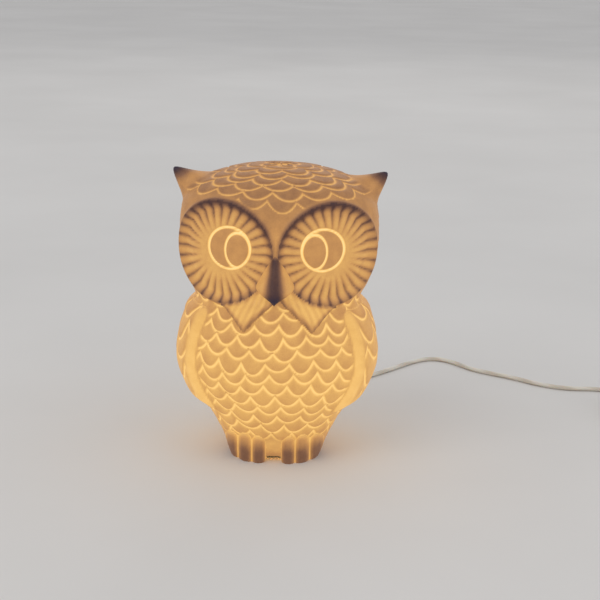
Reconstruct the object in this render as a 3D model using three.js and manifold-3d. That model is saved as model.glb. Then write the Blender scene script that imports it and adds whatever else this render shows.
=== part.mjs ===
// A lit porcelain owl: a hollow slip-cast bisque shell that lifts off a small base unit with a
// lampholder, a screw-in pygmy bulb, and a mains lead with a rocker switch and a two-pin plug.
// Millimetres, +Z up, +X to the viewer's right, the owl faces -Y. The origin is on the resting
// surface, under the middle of the shell. Places below are counted from the lamp's own axis.

import * as THREE from 'three'
import { mergeVertices } from 'three/addons/utils/BufferGeometryUtils.js'
import Module from 'manifold-3d'

const wasm = await Module()
wasm.setup()

// ---------------------------------------------------------------- driving sizes

const OWL_HEIGHT = 197 // resting surface to the crown
const OWL_WIDTH = 136 // across the folded wings
const OWL_DEPTH = 107 // breast to back
const WALL = 3.6 // cast wall of the shell
const GAP = 0.3 // left between two pieces that seat on each other

const SHELL_COLUMNS = 60
const SHELL_ROWS = 36
const CAVITY_COLUMNS = 36
const CAVITY_ROWS = 16
const ROUND = 24 // sides of a turned piece
const SMALL_ROUND = 14 // sides of a screw or a pin

const WING_RELIEF = 4.6
const EAR_REACH = 18
const EAR_RISE = 11
const BEAK_WIDTH = 20
const BEAK_REACH = 16
const TOE_REACH = 5.5
const BIB_RELIEF = 3.2
const DISC_RADIUS = 36.5
const DISC_DEPTH = 2.6
const DISC_RIM = 1.8

const ARCH_WIDTH = 11 // gap under the shell's lip between the feet
const ARCH_HEIGHT = 4
const LEAD_DIAMETER = 3.3
const LEAD_HEIGHT = 10 // middle of the lead above the resting surface, inside the base

const PLATE_CLEARANCE = 0.8 // all round, between the plate and the inside of the shell's mouth
const PLATE_THICKNESS = 2.6
const PLATE_RIM_WIDTH = 1.6
const PLATE_RIM_HEIGHT = 3
const PAD_HEIGHT = 2
const PAD_RADIUS = 3.8
const PAD_COUNT = 3
const PAD_SPREAD = 0.75 // of the plate's reach, from its middle to a pad's

const RELIEF_LENGTH = 30 // of the tapered sleeve outside the cord post
const RELIEF_RADIUS = 3.5
const RELIEF_TIP_RADIUS = 2.5
const RELIEF_NECK_RADIUS = 3
const RELIEF_FLANGE_RADIUS = 4.4
const RELIEF_FLANGE = 1.5
const NOTCH_CLEARANCE = 1.2 // round the sleeve, in the shell's rear notch
const POST_THICKNESS = 3
const POST_WIDTH = 15
const POST_INSET = 4.4 // from the plate's rear edge to the post

const CLAMP_SPACING = 15 // between the clamp's two screws
const CLAMP_LENGTH = 22
const CLAMP_DEPTH = 6
const CLAMP_THICKNESS = 1.6
const CLAMP_FROM_POST = 6.5
const SMALL_SCREW_RADIUS = 1.1
const SMALL_HEAD_RADIUS = 2.1

const BRACKET_SHEET = 1.2
const BRACKET_DEPTH = 15
const BRACKET_SPAN = 22 // between the insides of the legs
const BRACKET_RIM_CLEARANCE = 1.2 // between a flange's end and the plate's rim
const BRACKET_TOP = 24
const BRACKET_SCREW_RADIUS = 1.4
const BRACKET_HEAD_RADIUS = 2.9

const NIPPLE_RADIUS = 5
const NIPPLE_BORE = 3.2
const NIPPLE_LENGTH = 12
const NUT_ACROSS_FLATS = 14
const NUT_THICKNESS = 3.2

const HOLDER_RADIUS = 13.8
const HOLDER_WALL = 1.8
const HOLDER_CAP_HEIGHT = 11.5
const HOLDER_FLOOR = 2.2
const HOLDER_SLEEVE_HEIGHT = 25
const HOLDER_MOUTH_RADIUS = 8.9
const INSERT_THICKNESS = 6.5
const INSERT_UP = 8.7 // of the insert's underside above the holder's foot
const THREAD_RADIUS = 6.95 // E14 cap, outside its thread
const THREAD_PITCH = 2.82
const THREAD_DEPTH = 0.65
const THREAD_TURNS = 4
const THREAD_CLEARANCE = 0.65
const CONTACT_SHEET = 0.8

const BULB_RADIUS = 13
const BULB_LENGTH = 34 // of glass above its cap
const GLASS = 0.9
const CAP_SKIRT = 7
const CAP_WALL = 0.8

const SWITCH_LENGTH = 58
const SWITCH_WIDTH = 22
const SWITCH_HEIGHT = 17
const SWITCH_WALL = 1.8
const SWITCH_SPLIT = 8.5 // height of the joint between its halves
const ROCKER_LENGTH = 19
const ROCKER_WIDTH = 11
const ROCKER_TILT = 7 // degrees, to each side of level
const ENTRY_HEIGHT = 5.2 // middle of the lead where it enters the switch

const COIL_RADIUS = 19 // to the middle of the bundle
const COIL_BUNDLE_WIDTH = 14.2
const COIL_BUNDLE_HEIGHT = 10.6
const TIE_THICKNESS = 0.8
const TIE_WIDTH = 7

const PLUG_WIDTH = 35
const PLUG_LENGTH = 36
const PLUG_THICKNESS = 14
const PLUG_NECK = 12
const PIN_RADIUS = 2
const PIN_LENGTH = 19
const PIN_SPACING = 18.6
const PIN_BARE = 9
const PIN_CORE_RADIUS = 1.3
const PLUG_RELIEF_LENGTH = 20

// ---------------------------------------------------------------- materials

const material = (color, roughness, metalness = 0) =>
  new THREE.MeshStandardMaterial({ color, roughness, metalness })

const porcelain = material('#d8a45c', 0.6)
const whitePlastic = material('#ece9e1', 0.45)
const phenolic = material('#f1eee6', 0.35)
const leadSheath = material('#dcd5c8', 0.5)
const rubber = material('#3a3938', 0.9)
const steel = material('#b9bcc0', 0.35, 1)
const brass = material('#c8a24a', 0.3, 1)
const glass = material('#fff3dc', 0.08)
const blackGlass = material('#1b1a1c', 0.25)
const tungsten = material('#ffd9a0', 0.5, 1)

const lamp = new THREE.Group()

function add(name, geometry, finish, parent = lamp) {
  const mesh = new THREE.Mesh(geometry, finish)
  mesh.name = name
  parent.add(mesh)
  return mesh
}

// ---------------------------------------------------------------- solids

// Shared vertices joined, slivers dropped, faces turned outwards.
function closed(geometry) {
  const bare = geometry.clone()
  for (const name of Object.keys(bare.attributes)) {
    if (name !== 'position') bare.deleteAttribute(name)
  }
  const merged = mergeVertices(bare, 1e-4)
  const at = (i) => new THREE.Vector3().fromBufferAttribute(merged.attributes.position, i)
  const corners = merged.index.array
  const kept = []
  let volume = 0
  for (let i = 0; i < corners.length; i += 3) {
    const [a, b, c] = [corners[i], corners[i + 1], corners[i + 2]]
    if (a === b || b === c || c === a) continue
    kept.push(a, b, c)
    volume += at(a).dot(at(b).cross(at(c)))
  }
  if (volume < 0) kept.reverse()
  merged.setIndex(kept)
  return merged
}

function toManifold(geometry) {
  const shape = closed(geometry)
  return new wasm.Manifold(
    new wasm.Mesh({
      numProp: 3,
      vertProperties: new Float32Array(shape.attributes.position.array),
      triVerts: new Uint32Array(shape.index.array)
    })
  )
}

function toGeometry(solid) {
  const mesh = solid.getMesh()
  const geometry = new THREE.BufferGeometry()
  geometry.setAttribute('position', new THREE.BufferAttribute(mesh.vertProperties, 3))
  geometry.setIndex([...mesh.triVerts])
  return geometry
}

function cut(body, ...tools) {
  return toGeometry(tools.reduce((solid, tool) => solid.subtract(toManifold(tool)), toManifold(body)))
}

function join(...bodies) {
  const solids = bodies.map(toManifold)
  return toGeometry(solids.reduce((whole, solid) => whole.add(solid)))
}

function box(x0, x1, y0, y1, z0, z1) {
  const block = new THREE.BoxGeometry(x1 - x0, y1 - y0, z1 - z0)
  return block.translate((x0 + x1) / 2, (y0 + y1) / 2, (z0 + z1) / 2)
}

// A profile of [radius, height] pairs turned about +Z; it starts and ends on the axis or closes.
function turned(profile, sides = ROUND) {
  const points = profile.map(([radius, height]) => new THREE.Vector2(radius, height))
  return closed(new THREE.LatheGeometry(points, sides).rotateX(Math.PI / 2))
}

function rod(radius, z0, z1, sides = SMALL_ROUND) {
  return turned([[0, z0], [radius, z0], [radius, z1], [0, z1]], sides)
}

function pipe(bore, radius, z0, z1, sides = ROUND) {
  return turned([[bore, z0], [radius, z0], [radius, z1], [bore, z1], [bore, z0]], sides)
}

// An outline of [across, up] pairs drawn out between two places on the x, y or z axis. The outline
// lies in y and z, in x and z, or in x and y.
function drawnOut(axis, outline, from, to) {
  const shape = new THREE.Shape(outline.map(([across, up]) => new THREE.Vector2(across, up)))
  const solid = new THREE.ExtrudeGeometry(shape, { depth: to - from, bevelEnabled: false })
  solid.translate(0, 0, from)
  const [x, y, z] = [new THREE.Vector3(1, 0, 0), new THREE.Vector3(0, 1, 0), new THREE.Vector3(0, 0, 1)]
  const places = { x: [y, z, x], y: [x, z, y], z: [x, y, z] }
  return closed(solid.applyMatrix4(new THREE.Matrix4().makeBasis(...places[axis])))
}

// A turned solid laid along +Y, its height measured along y, with its axis at x and z.
function alongY(solid, x, z) {
  return solid.rotateX(-Math.PI / 2).translate(x, 0, z)
}

// A round lead of a given radius along a smooth curve through chosen points.
function tube(points, radius, steps, sides = 8) {
  const through = points.map((point) => new THREE.Vector3(...point))
  const path = new THREE.CatmullRomCurve3(through, false, 'centripetal')
  const section = new THREE.Shape(
    Array.from({ length: sides }, (_, i) => {
      const angle = (2 * Math.PI * i) / sides
      return new THREE.Vector2(radius * Math.cos(angle), radius * Math.sin(angle))
    })
  )
  return closed(new THREE.ExtrudeGeometry(section, { steps, extrudePath: path }))
}

function roundedRectangle(halfX, halfY, radius, steps = 3) {
  const outline = []
  for (const [signX, signY, turn] of [[1, 1, 0], [-1, 1, 1], [-1, -1, 2], [1, -1, 3]]) {
    for (let i = 0; i <= steps; i++) {
      const angle = ((turn + i / steps) * Math.PI) / 2
      outline.push([
        signX * (halfX - radius) + radius * Math.cos(angle),
        signY * (halfY - radius) + radius * Math.sin(angle)
      ])
    }
  }
  return outline
}

// ---------------------------------------------------------------- the owl's shape

// From the foot to the crown: height as a share of OWL_HEIGHT, half width as a share of half of
// OWL_WIDTH, and reach forwards and backwards as shares of half of OWL_DEPTH.
const STATIONS = [
  [0, 0.456, 0.56, 0.617],
  [0.051, 0.49, 0.6, 0.665],
  [0.112, 0.56, 0.7, 0.75],
  [0.173, 0.69, 0.822, 0.88],
  [0.244, 0.83, 0.915, 0.98],
  [0.335, 0.925, 0.953, 1.047],
  [0.426, 0.905, 0.945, 1.02],
  [0.497, 0.845, 0.907, 0.953],
  [0.558, 0.805, 0.87, 0.88],
  [0.609, 0.88, 0.888, 0.87],
  [0.68, 0.95, 0.907, 0.888],
  [0.761, 0.968, 0.916, 0.907],
  [0.843, 0.955, 0.907, 0.888],
  [0.904, 0.912, 0.87, 0.841],
  [0.944, 0.81, 0.766, 0.738],
  [0.972, 0.63, 0.6, 0.58],
  [0.991, 0.37, 0.35, 0.34],
  [1, 0, 0, 0]
]
const SQUARENESS = 2.35 // 2 is an ellipse
const FRONT_CROWDING = 0.35 // how far the columns crowd towards the face

const outlineCurve = new THREE.SplineCurve(
  STATIONS.map(([height, width]) => new THREE.Vector2(height * OWL_HEIGHT, (width * OWL_WIDTH) / 2))
)
const depthCurve = new THREE.SplineCurve(
  STATIONS.map(([, , front, back]) => new THREE.Vector2((front * OWL_DEPTH) / 2, (back * OWL_DEPTH) / 2))
)

// A point of the smooth body. The angle runs round +Z from +X, so -90 degrees is the face, and
// climb runs from 0 at the foot to 1 at the crown.
function bodyPoint(angle, climb) {
  const [height, halfWidth] = outlineCurve.getPoint(climb).toArray()
  const [front, back] = depthCurve.getPoint(climb).toArray()
  const across = Math.abs(Math.cos(angle)) / Math.max(halfWidth, 1e-3)
  const along = Math.abs(Math.sin(angle)) / Math.max(Math.sin(angle) < 0 ? front : back, 1e-3)
  const radius = (across ** SQUARENESS + along ** SQUARENESS) ** (-1 / SQUARENESS)
  return new THREE.Vector3(radius * Math.cos(angle), radius * Math.sin(angle), height)
}

function bodyNormal(angle, climb) {
  const step = 0.004
  const round = bodyPoint(angle + step, climb).sub(bodyPoint(angle - step, climb))
  const up = bodyPoint(angle, Math.min(climb + step, 1)).sub(bodyPoint(angle, Math.max(climb - step, 0)))
  return round.cross(up).normalize()
}

const smooth = (low, high, value) => THREE.MathUtils.smoothstep(value, low, high)
const level = (share) => share * OWL_HEIGHT
const aside = (share) => (share * OWL_WIDTH) / 2
const deep = (share) => (share * OWL_DEPTH) / 2

// The round dish of each eye, turned outwards by DISC_TURN; 0 at its middle and 1 at its rim.
const DISC_TURN = 0.4
const DISC_MIDDLE = new THREE.Vector3(aside(0.5), -deep(0.75), level(0.756))

function discRadius(point) {
  const outwards = (Math.abs(point.x) - DISC_MIDDLE.x) * Math.cos(DISC_TURN)
  const backwards = (point.y - DISC_MIDDLE.y) * Math.sin(DISC_TURN)
  return Math.hypot(outwards + backwards, point.z - DISC_MIDDLE.z) / DISC_RADIUS
}

function dish(point) {
  if (point.y > 0) return 0
  return -DISC_DEPTH * (1 - smooth(0.75, 0.95, discRadius(point)))
}

function discRim(point) {
  if (point.y > deep(0.1)) return 0
  return DISC_RIM * Math.exp(-(((discRadius(point) - 0.99) / 0.07) ** 2))
}

// The folded wing stands out from a rounded front edge to a point low at the back.
function wing(point) {
  const behind = point.y / OWL_DEPTH + 0.22
  const leadingEdge = smooth(-0.03, 0.02, behind)
  const trailingEdge = 1 - smooth(0.62, 0.7, behind + 0.25 * smooth(level(0.35), level(0.1), point.z))
  const low = smooth(level(0.115), level(0.17), point.z)
  const high = 1 - smooth(level(0.5), level(0.56), point.z)
  return WING_RELIEF * leadingEdge * trailingEdge * low * high
}

// Two smooth leaves of the bib, below the discs, meeting under the beak.
function bib(point) {
  if (point.y > -deep(0.3)) return 0
  const [x, z] = [Math.abs(point.x), point.z]
  const [innerX, innerZ, cornerX, cornerZ] = [aside(0.05), level(0.574), aside(0.32), level(0.487)]
  const lowerEdge = innerZ + ((cornerZ - innerZ) * (x - innerX)) / (cornerX - innerX)
  const outerEdge = cornerZ + ((x - cornerX) * level(0.071)) / aside(0.18)
  const inside = Math.min(z - lowerEdge, z - outerEdge)
  return BIB_RELIEF * smooth(-1, 3, inside) * (1 - smooth(level(0.57), level(0.6), z))
}

// The beak from its point upwards: height as a share of OWL_HEIGHT, then half width and reach as
// shares of BEAK_WIDTH and BEAK_REACH. It is rooted in the wall between the discs.
const BEAK_STATIONS = [
  [0.594, 0.1, 0.8],
  [0.604, 0.46, 1],
  [0.622, 0.9, 1],
  [0.64, 1, 0.94],
  [0.68, 0.75, 0.74],
  [0.72, 0.5, 0.52],
  [0.762, 0.25, 0.34]
]
const BEAK_SIDES = 12

function beak() {
  const root = -deep(0.86)
  const rings = BEAK_STATIONS.map(([height, width, reach]) =>
    Array.from({ length: BEAK_SIDES }, (_, side) => {
      const angle = (2 * Math.PI * (side + 0.5)) / BEAK_SIDES
      const across = 0.5 * width * BEAK_WIDTH * Math.cos(angle)
      const out = Math.sin(angle) < 0 ? reach * BEAK_REACH * Math.sin(angle) : 0.6 * Math.sin(angle)
      return new THREE.Vector3(across, root + out, level(height))
    })
  )
  const tip = new THREE.Vector3(0, root - 0.7 * BEAK_REACH, level(BEAK_STATIONS[0][0]) - 0.6)
  const top = new THREE.Vector3(0, root - 0.2 * BEAK_REACH, level(BEAK_STATIONS.at(-1)[0]) + 2)
  return ringed(rings, tip, top)
}

// How far the toes stand forwards, three on each foot.
function toes(point) {
  if (point.y > -deep(0.1)) return 0
  const across = (Math.abs(point.x) - aside(0.285)) / aside(0.2)
  if (Math.abs(across) > 1) return 0
  const each = 0.72 + 0.28 * Math.abs(Math.cos(1.5 * Math.PI * across))
  const rounded = Math.sqrt(1 - across ** 4)
  return TOE_REACH * each * rounded * (1 - smooth(level(0.07), level(0.108), point.z))
}

// A horn at each upper corner of the head, outwards and upwards.
function ear(point) {
  const away = Math.hypot(
    (Math.abs(point.x) - aside(0.83)) / aside(0.23),
    (point.y - deep(0.02)) / deep(0.27),
    (point.z - level(0.94)) / level(0.052)
  )
  const share = Math.max(0, 1 - away) ** 1.3
  return new THREE.Vector3(Math.sign(point.x) * EAR_REACH * share, 0, EAR_RISE * share)
}

function skinPoint(angle, climb) {
  const point = bodyPoint(angle, climb)
  const out = dish(point) + discRim(point) + wing(point) + bib(point)
  const place = point.clone().addScaledVector(bodyNormal(angle, climb), out)
  place.add(ear(point))
  place.y -= toes(point)
  return place
}

function cavityPoint(angle, climb) {
  const point = bodyPoint(angle, climb)
  return point.clone().addScaledVector(bodyNormal(angle, climb), dish(point) - WALL)
}

// The angle of a column, counted from the back, with more columns at the face.
function columnAngle(column, columns) {
  const share = (2 * column) / columns - 1
  return -Math.PI / 2 + Math.PI * (share * (1 - FRONT_CROWDING) + FRONT_CROWDING * share ** 3)
}

// Level rings of points, closed at the bottom and at the top by a fan.
function ringed(rings, bottom, top) {
  const columns = rings[0].length
  const corners = []
  const [low, high] = [rings.length * columns, rings.length * columns + 1]
  for (let column = 0; column < columns; column++) {
    const next = (column + 1) % columns
    corners.push(low, next, column)
    for (let row = 0; row + 1 < rings.length; row++) {
      const [here, above] = [row * columns, (row + 1) * columns]
      corners.push(here + column, here + next, above + next, here + column, above + next, above + column)
    }
    corners.push((rings.length - 1) * columns + column, (rings.length - 1) * columns + next, high)
  }
  const geometry = new THREE.BufferGeometry().setFromPoints([...rings.flat(), bottom, top])
  geometry.setIndex(corners)
  return closed(geometry)
}

function ring(pointAt, climb, columns) {
  return Array.from({ length: columns }, (_, column) => pointAt(columnAngle(column, columns), climb))
}

function owlShell() {
  const rings = (point, rows, columns) =>
    Array.from({ length: rows }, (_, row) => ring(point, row / rows, columns))
  const skin = rings(skinPoint, SHELL_ROWS, SHELL_COLUMNS)
  const outside = ringed(skin, new THREE.Vector3(0, 0, 0), new THREE.Vector3(0, 0, OWL_HEIGHT))
  const lining = rings(cavityPoint, CAVITY_ROWS, CAVITY_COLUMNS)
  const below = lining[0].map((point) => point.clone().setZ(-WALL))
  const inside = ringed(
    [below, ...lining], new THREE.Vector3(0, 0, -WALL), new THREE.Vector3(0, 0, OWL_HEIGHT - WALL)
  )
  const arch = box(-ARCH_WIDTH / 2, ARCH_WIDTH / 2, -OWL_DEPTH, 0, -WALL, ARCH_HEIGHT)
  const notchRadius = RELIEF_RADIUS + NOTCH_CLEARANCE
  const notch = join(
    box(-notchRadius, notchRadius, 0, OWL_DEPTH, -WALL, LEAD_HEIGHT),
    alongY(rod(notchRadius, 0, OWL_DEPTH), 0, LEAD_HEIGHT)
  )
  return cut(join(outside, beak()), inside, arch, notch)
}

// ---------------------------------------------------------------- base unit

const LEAD_RADIUS = LEAD_DIAMETER / 2
const PLATE_BOTTOM = PAD_HEIGHT + GAP
const PLATE_TOP = PLATE_BOTTOM + PLATE_THICKNESS
const PLATE_COLUMNS = 40

// The outline of the inside of the shell's mouth, drawn in by a given distance.
function mouthOutline(inset) {
  return ring(cavityPoint, 0, PLATE_COLUMNS).map(({ x, y }) => {
    const share = 1 - inset / Math.hypot(x, y)
    return [x * share, y * share]
  })
}

const plateOutline = mouthOutline(PLATE_CLEARANCE)
const PLATE_REAR = Math.max(...plateOutline.map(([, y]) => y))
const PLATE_SIDE = Math.max(...plateOutline.map(([x]) => x))
const POST_REAR = PLATE_REAR - POST_INSET
const POST_FRONT = POST_REAR - POST_THICKNESS
const CLAMP_MIDDLE = POST_FRONT - CLAMP_FROM_POST
const BOSS_TOP = LEAD_HEIGHT + LEAD_RADIUS
const LEG_OUTSIDE = BRACKET_SPAN / 2 + BRACKET_SHEET
const BRACKET_REACH = PLATE_SIDE - PLATE_RIM_WIDTH - BRACKET_RIM_CLEARANCE
const BRACKET_SCREW_X = (LEG_OUTSIDE + BRACKET_REACH) / 2
const SIDES = [-1, 1]

function basePlate() {
  const floor = drawnOut('z', plateOutline, PLATE_BOTTOM, PLATE_TOP)
  const rimOutside = drawnOut('z', plateOutline, PLATE_BOTTOM, PLATE_TOP + PLATE_RIM_HEIGHT)
  const rimInside = drawnOut('z', mouthOutline(PLATE_CLEARANCE + PLATE_RIM_WIDTH), 0, BRACKET_TOP)
  const post = box(-POST_WIDTH / 2, POST_WIDTH / 2, POST_FRONT, POST_REAR, PLATE_BOTTOM, BOSS_TOP + 3)
  const saddle = box(
    -CLAMP_SPACING / 2, CLAMP_SPACING / 2, CLAMP_MIDDLE - CLAMP_DEPTH / 2, CLAMP_MIDDLE + CLAMP_DEPTH / 2,
    PLATE_BOTTOM, LEAD_HEIGHT - LEAD_RADIUS - GAP
  )
  const bosses = SIDES.map((side) =>
    rod(CLAMP_DEPTH / 2, PLATE_BOTTOM, BOSS_TOP).translate((side * CLAMP_SPACING) / 2, CLAMP_MIDDLE, 0)
  )
  const neck = RELIEF_NECK_RADIUS + GAP
  const slot = box(-neck, neck, POST_FRONT - 1, POST_REAR + 1, LEAD_HEIGHT, BRACKET_TOP)
  const slotFoot = alongY(rod(neck, POST_FRONT - 1, POST_REAR + 1), 0, LEAD_HEIGHT)
  const passage = RELIEF_FLANGE_RADIUS + GAP
  const rimGap = box(-passage, passage, POST_REAR, PLATE_REAR + 1, PLATE_TOP, BRACKET_TOP)
  const clampHoles = SIDES.map((side) =>
    rod(SMALL_SCREW_RADIUS + GAP, PLATE_TOP, BRACKET_TOP)
      .translate((side * CLAMP_SPACING) / 2, CLAMP_MIDDLE, 0)
  )
  const bracketHoles = SIDES.map((side) =>
    rod(BRACKET_SCREW_RADIUS + GAP, 0, BRACKET_TOP).translate(side * BRACKET_SCREW_X, 0, 0)
  )
  return cut(
    join(floor, cut(rimOutside, rimInside), post, saddle, ...bosses),
    slot, slotFoot, rimGap, ...clampHoles, ...bracketHoles
  )
}

function basePad(index) {
  const angle = ((2 * index) / PAD_COUNT + 0.5) * Math.PI
  const [x, y] = [PLATE_SIDE * Math.cos(angle), PLATE_REAR * Math.sin(angle)]
  return rod(PAD_RADIUS, 0, PAD_HEIGHT).translate(PAD_SPREAD * x, PAD_SPREAD * y, 0)
}

// A bridge of bent sheet: two flanges, two legs and a top with the nipple's hole.
const BRACKET_FOOT = PLATE_TOP + GAP

function holderBracket() {
  const [inside, outside, reach] = [BRACKET_SPAN / 2, LEG_OUTSIDE, BRACKET_REACH]
  const half = [
    [reach, BRACKET_FOOT], [reach, BRACKET_FOOT + BRACKET_SHEET], [outside, BRACKET_FOOT + BRACKET_SHEET],
    [outside, BRACKET_TOP]
  ]
  const under = [[inside, BRACKET_TOP - BRACKET_SHEET], [inside, BRACKET_FOOT]]
  const mirrored = (points) => points.map(([x, z]) => [-x, z]).reverse()
  const outline = [...half, ...mirrored(half), ...mirrored(under), ...under]
  const sheet = drawnOut('y', outline, -BRACKET_DEPTH / 2, BRACKET_DEPTH / 2)
  const nippleHole = rod(NIPPLE_RADIUS + GAP, PLATE_TOP, BRACKET_TOP + 1, ROUND)
  const screwHoles = SIDES.map((side) =>
    rod(BRACKET_SCREW_RADIUS + GAP, 0, BRACKET_TOP - BRACKET_SHEET - 1)
      .translate(side * BRACKET_SCREW_X, 0, 0)
  )
  return cut(sheet, nippleHole, ...screwHoles)
}

// A round-headed screw standing up from z0, with the underside of its head at seat.
function screw(radius, headRadius, z0, seat) {
  const headHeight = 0.65 * headRadius
  return turned(
    [[0, z0], [radius, z0], [radius, seat], [headRadius, seat], [0.8 * headRadius, seat + headHeight],
      [0, seat + headHeight]],
    SMALL_ROUND
  )
}

function bracketScrew(side) {
  const seat = BRACKET_FOOT + BRACKET_SHEET + GAP
  const body = screw(BRACKET_SCREW_RADIUS, BRACKET_HEAD_RADIUS, PLATE_BOTTOM + GAP, seat)
  return body.translate(side * BRACKET_SCREW_X, 0, 0)
}

const HOLDER_FOOT = BRACKET_TOP + GAP
const NUT_TOP = BRACKET_TOP - BRACKET_SHEET - GAP
const NIPPLE_BOTTOM = NUT_TOP - NUT_THICKNESS - 2
const NIPPLE_TOP = NIPPLE_BOTTOM + NIPPLE_LENGTH

function nippleNut() {
  const body = rod(NUT_ACROSS_FLATS / Math.sqrt(3), NUT_TOP - NUT_THICKNESS, NUT_TOP, 6)
  return cut(body, rod(NIPPLE_RADIUS + GAP, 0, BRACKET_TOP, ROUND))
}

const RELIEF_START = POST_FRONT - GAP - RELIEF_FLANGE
const RELIEF_END = POST_REAR + GAP + RELIEF_LENGTH

// The rubber sleeve that the lead leaves by: clipped in the post by a flange on each side of it,
// then tapered, with grooves round it.
function strainRelief() {
  const rootFlange = POST_REAR + GAP + RELIEF_FLANGE
  const bore = LEAD_RADIUS + GAP
  const outside = [
    [RELIEF_FLANGE_RADIUS, RELIEF_START], [RELIEF_FLANGE_RADIUS, POST_FRONT - GAP],
    [RELIEF_NECK_RADIUS, POST_FRONT - GAP], [RELIEF_NECK_RADIUS, POST_REAR + GAP],
    [RELIEF_FLANGE_RADIUS, POST_REAR + GAP], [RELIEF_FLANGE_RADIUS, rootFlange]
  ]
  const ribs = 5
  for (let rib = 0; rib < ribs; rib++) {
    const share = rib / ribs
    const radius = THREE.MathUtils.lerp(RELIEF_RADIUS, RELIEF_TIP_RADIUS, share)
    const y = THREE.MathUtils.lerp(rootFlange, RELIEF_END, share)
    const pitch = (RELIEF_END - rootFlange) / ribs
    outside.push([radius, y + 0.02], [radius, y + 0.6 * pitch], [radius - 0.4, y + 0.6 * pitch])
    outside.push([radius - 0.4, y + pitch])
  }
  const profile = [[bore, RELIEF_START], ...outside, [bore, RELIEF_END], [bore, RELIEF_START]]
  return alongY(turned(profile, 16), 0, LEAD_HEIGHT)
}

function cordClamp() {
  const outline = roundedRectangle(CLAMP_LENGTH / 2, CLAMP_DEPTH / 2, CLAMP_DEPTH / 2 - 0.1)
  const bar = drawnOut('z', outline, BOSS_TOP + GAP, BOSS_TOP + GAP + CLAMP_THICKNESS)
  const holes = SIDES.map((side) =>
    rod(SMALL_SCREW_RADIUS + GAP, 0, HOLDER_FOOT).translate((side * CLAMP_SPACING) / 2, 0, 0)
  )
  return cut(bar, ...holes).translate(0, CLAMP_MIDDLE, 0)
}

function clampScrew(side) {
  const seat = BOSS_TOP + CLAMP_THICKNESS + 2 * GAP
  const body = screw(SMALL_SCREW_RADIUS, SMALL_HEAD_RADIUS, PLATE_TOP + 1, seat)
  return body.translate((side * CLAMP_SPACING) / 2, CLAMP_MIDDLE, 0)
}

// The lead inside the base: through the sleeve, under the clamp, and up into the nipple.
const BEND_RADIUS = 10
const LEAD_TOP = NIPPLE_TOP - 0.5

function leadInside() {
  const bend = [0, 1, 2, 3, 4].map((step) => {
    const angle = (step * Math.PI) / 8
    return [0, BEND_RADIUS * (1 - Math.sin(angle)), LEAD_HEIGHT + BEND_RADIUS * (1 - Math.cos(angle))]
  })
  const straight = [RELIEF_END, 0.5 * (RELIEF_END + BEND_RADIUS), BEND_RADIUS + 4]
  const along = straight.map((y) => [0, y, LEAD_HEIGHT])
  return tube([...along, ...bend, [0, 0, LEAD_TOP]], LEAD_RADIUS, 28)
}

function leadCore(side) {
  const radius = 0.7
  const start = LEAD_TOP + GAP
  const points = [[0.85, start], [0.85, start + 0.8], [2.2, start + 1.8], [3.6, start + 2.2]]
  return tube(points.map(([x, z]) => [side * x, 0, z]), radius, 8, 6)
}

// ---------------------------------------------------------------- lampholder

const INSERT_BOTTOM = HOLDER_FOOT + INSERT_UP
const INSERT_TOP = INSERT_BOTTOM + INSERT_THICKNESS
const SLEEVE_BOTTOM = HOLDER_FOOT + HOLDER_CAP_HEIGHT + GAP
const SLEEVE_TOP = SLEEVE_BOTTOM + HOLDER_SLEEVE_HEIGHT
const HOLDER_INSIDE = HOLDER_RADIUS - HOLDER_WALL

function holderCap() {
  const hole = NIPPLE_RADIUS + GAP
  const [foot, top] = [HOLDER_FOOT, HOLDER_FOOT + HOLDER_CAP_HEIGHT]
  return turned([
    [hole, foot], [9.5, foot], [12.6, foot + 2], [HOLDER_RADIUS, foot + 5], [HOLDER_RADIUS, top],
    [HOLDER_INSIDE, top], [HOLDER_INSIDE, foot + 5.4], [9, foot + HOLDER_FLOOR], [hole, foot + HOLDER_FLOOR],
    [hole, foot]
  ])
}

function holderInsert() {
  const radius = HOLDER_INSIDE - GAP
  return turned([
    [0, INSERT_BOTTOM], [radius - 1, INSERT_BOTTOM], [radius, INSERT_BOTTOM + 1], [radius, INSERT_TOP],
    [0, INSERT_TOP]
  ])
}

function holderSleeve() {
  const [low, top] = [SLEEVE_BOTTOM, SLEEVE_TOP]
  return turned([
    [HOLDER_INSIDE, low], [HOLDER_RADIUS, low], [HOLDER_RADIUS, top - 3], [HOLDER_RADIUS - 1, top - 0.8],
    [HOLDER_RADIUS - 2.4, top], [HOLDER_MOUTH_RADIUS, top], [HOLDER_MOUTH_RADIUS, top - HOLDER_WALL],
    [HOLDER_INSIDE, top - HOLDER_WALL - 1.4], [HOLDER_INSIDE, low]
  ])
}

const CONTACT_FOOT = INSERT_TOP + GAP
const THREAD_SLEEVE_BORE = THREAD_RADIUS + THREAD_CLEARANCE

function centreContact() {
  const [foot, sheet] = [CONTACT_FOOT, 0.5]
  const outline = [
    [-6, foot], [6, foot], [6, foot + sheet], [3, foot + sheet], [1.6, foot + 1.4], [-1.6, foot + 1.4],
    [-3, foot + sheet], [-6, foot + sheet]
  ]
  return drawnOut('y', outline, -1.8, 1.8)
}

function terminalScrew(side) {
  return rod(2, INSERT_BOTTOM - GAP - 2.6, INSERT_BOTTOM - GAP).translate(side * 6.6, 0, 0)
}

// ---------------------------------------------------------------- bulb

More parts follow.
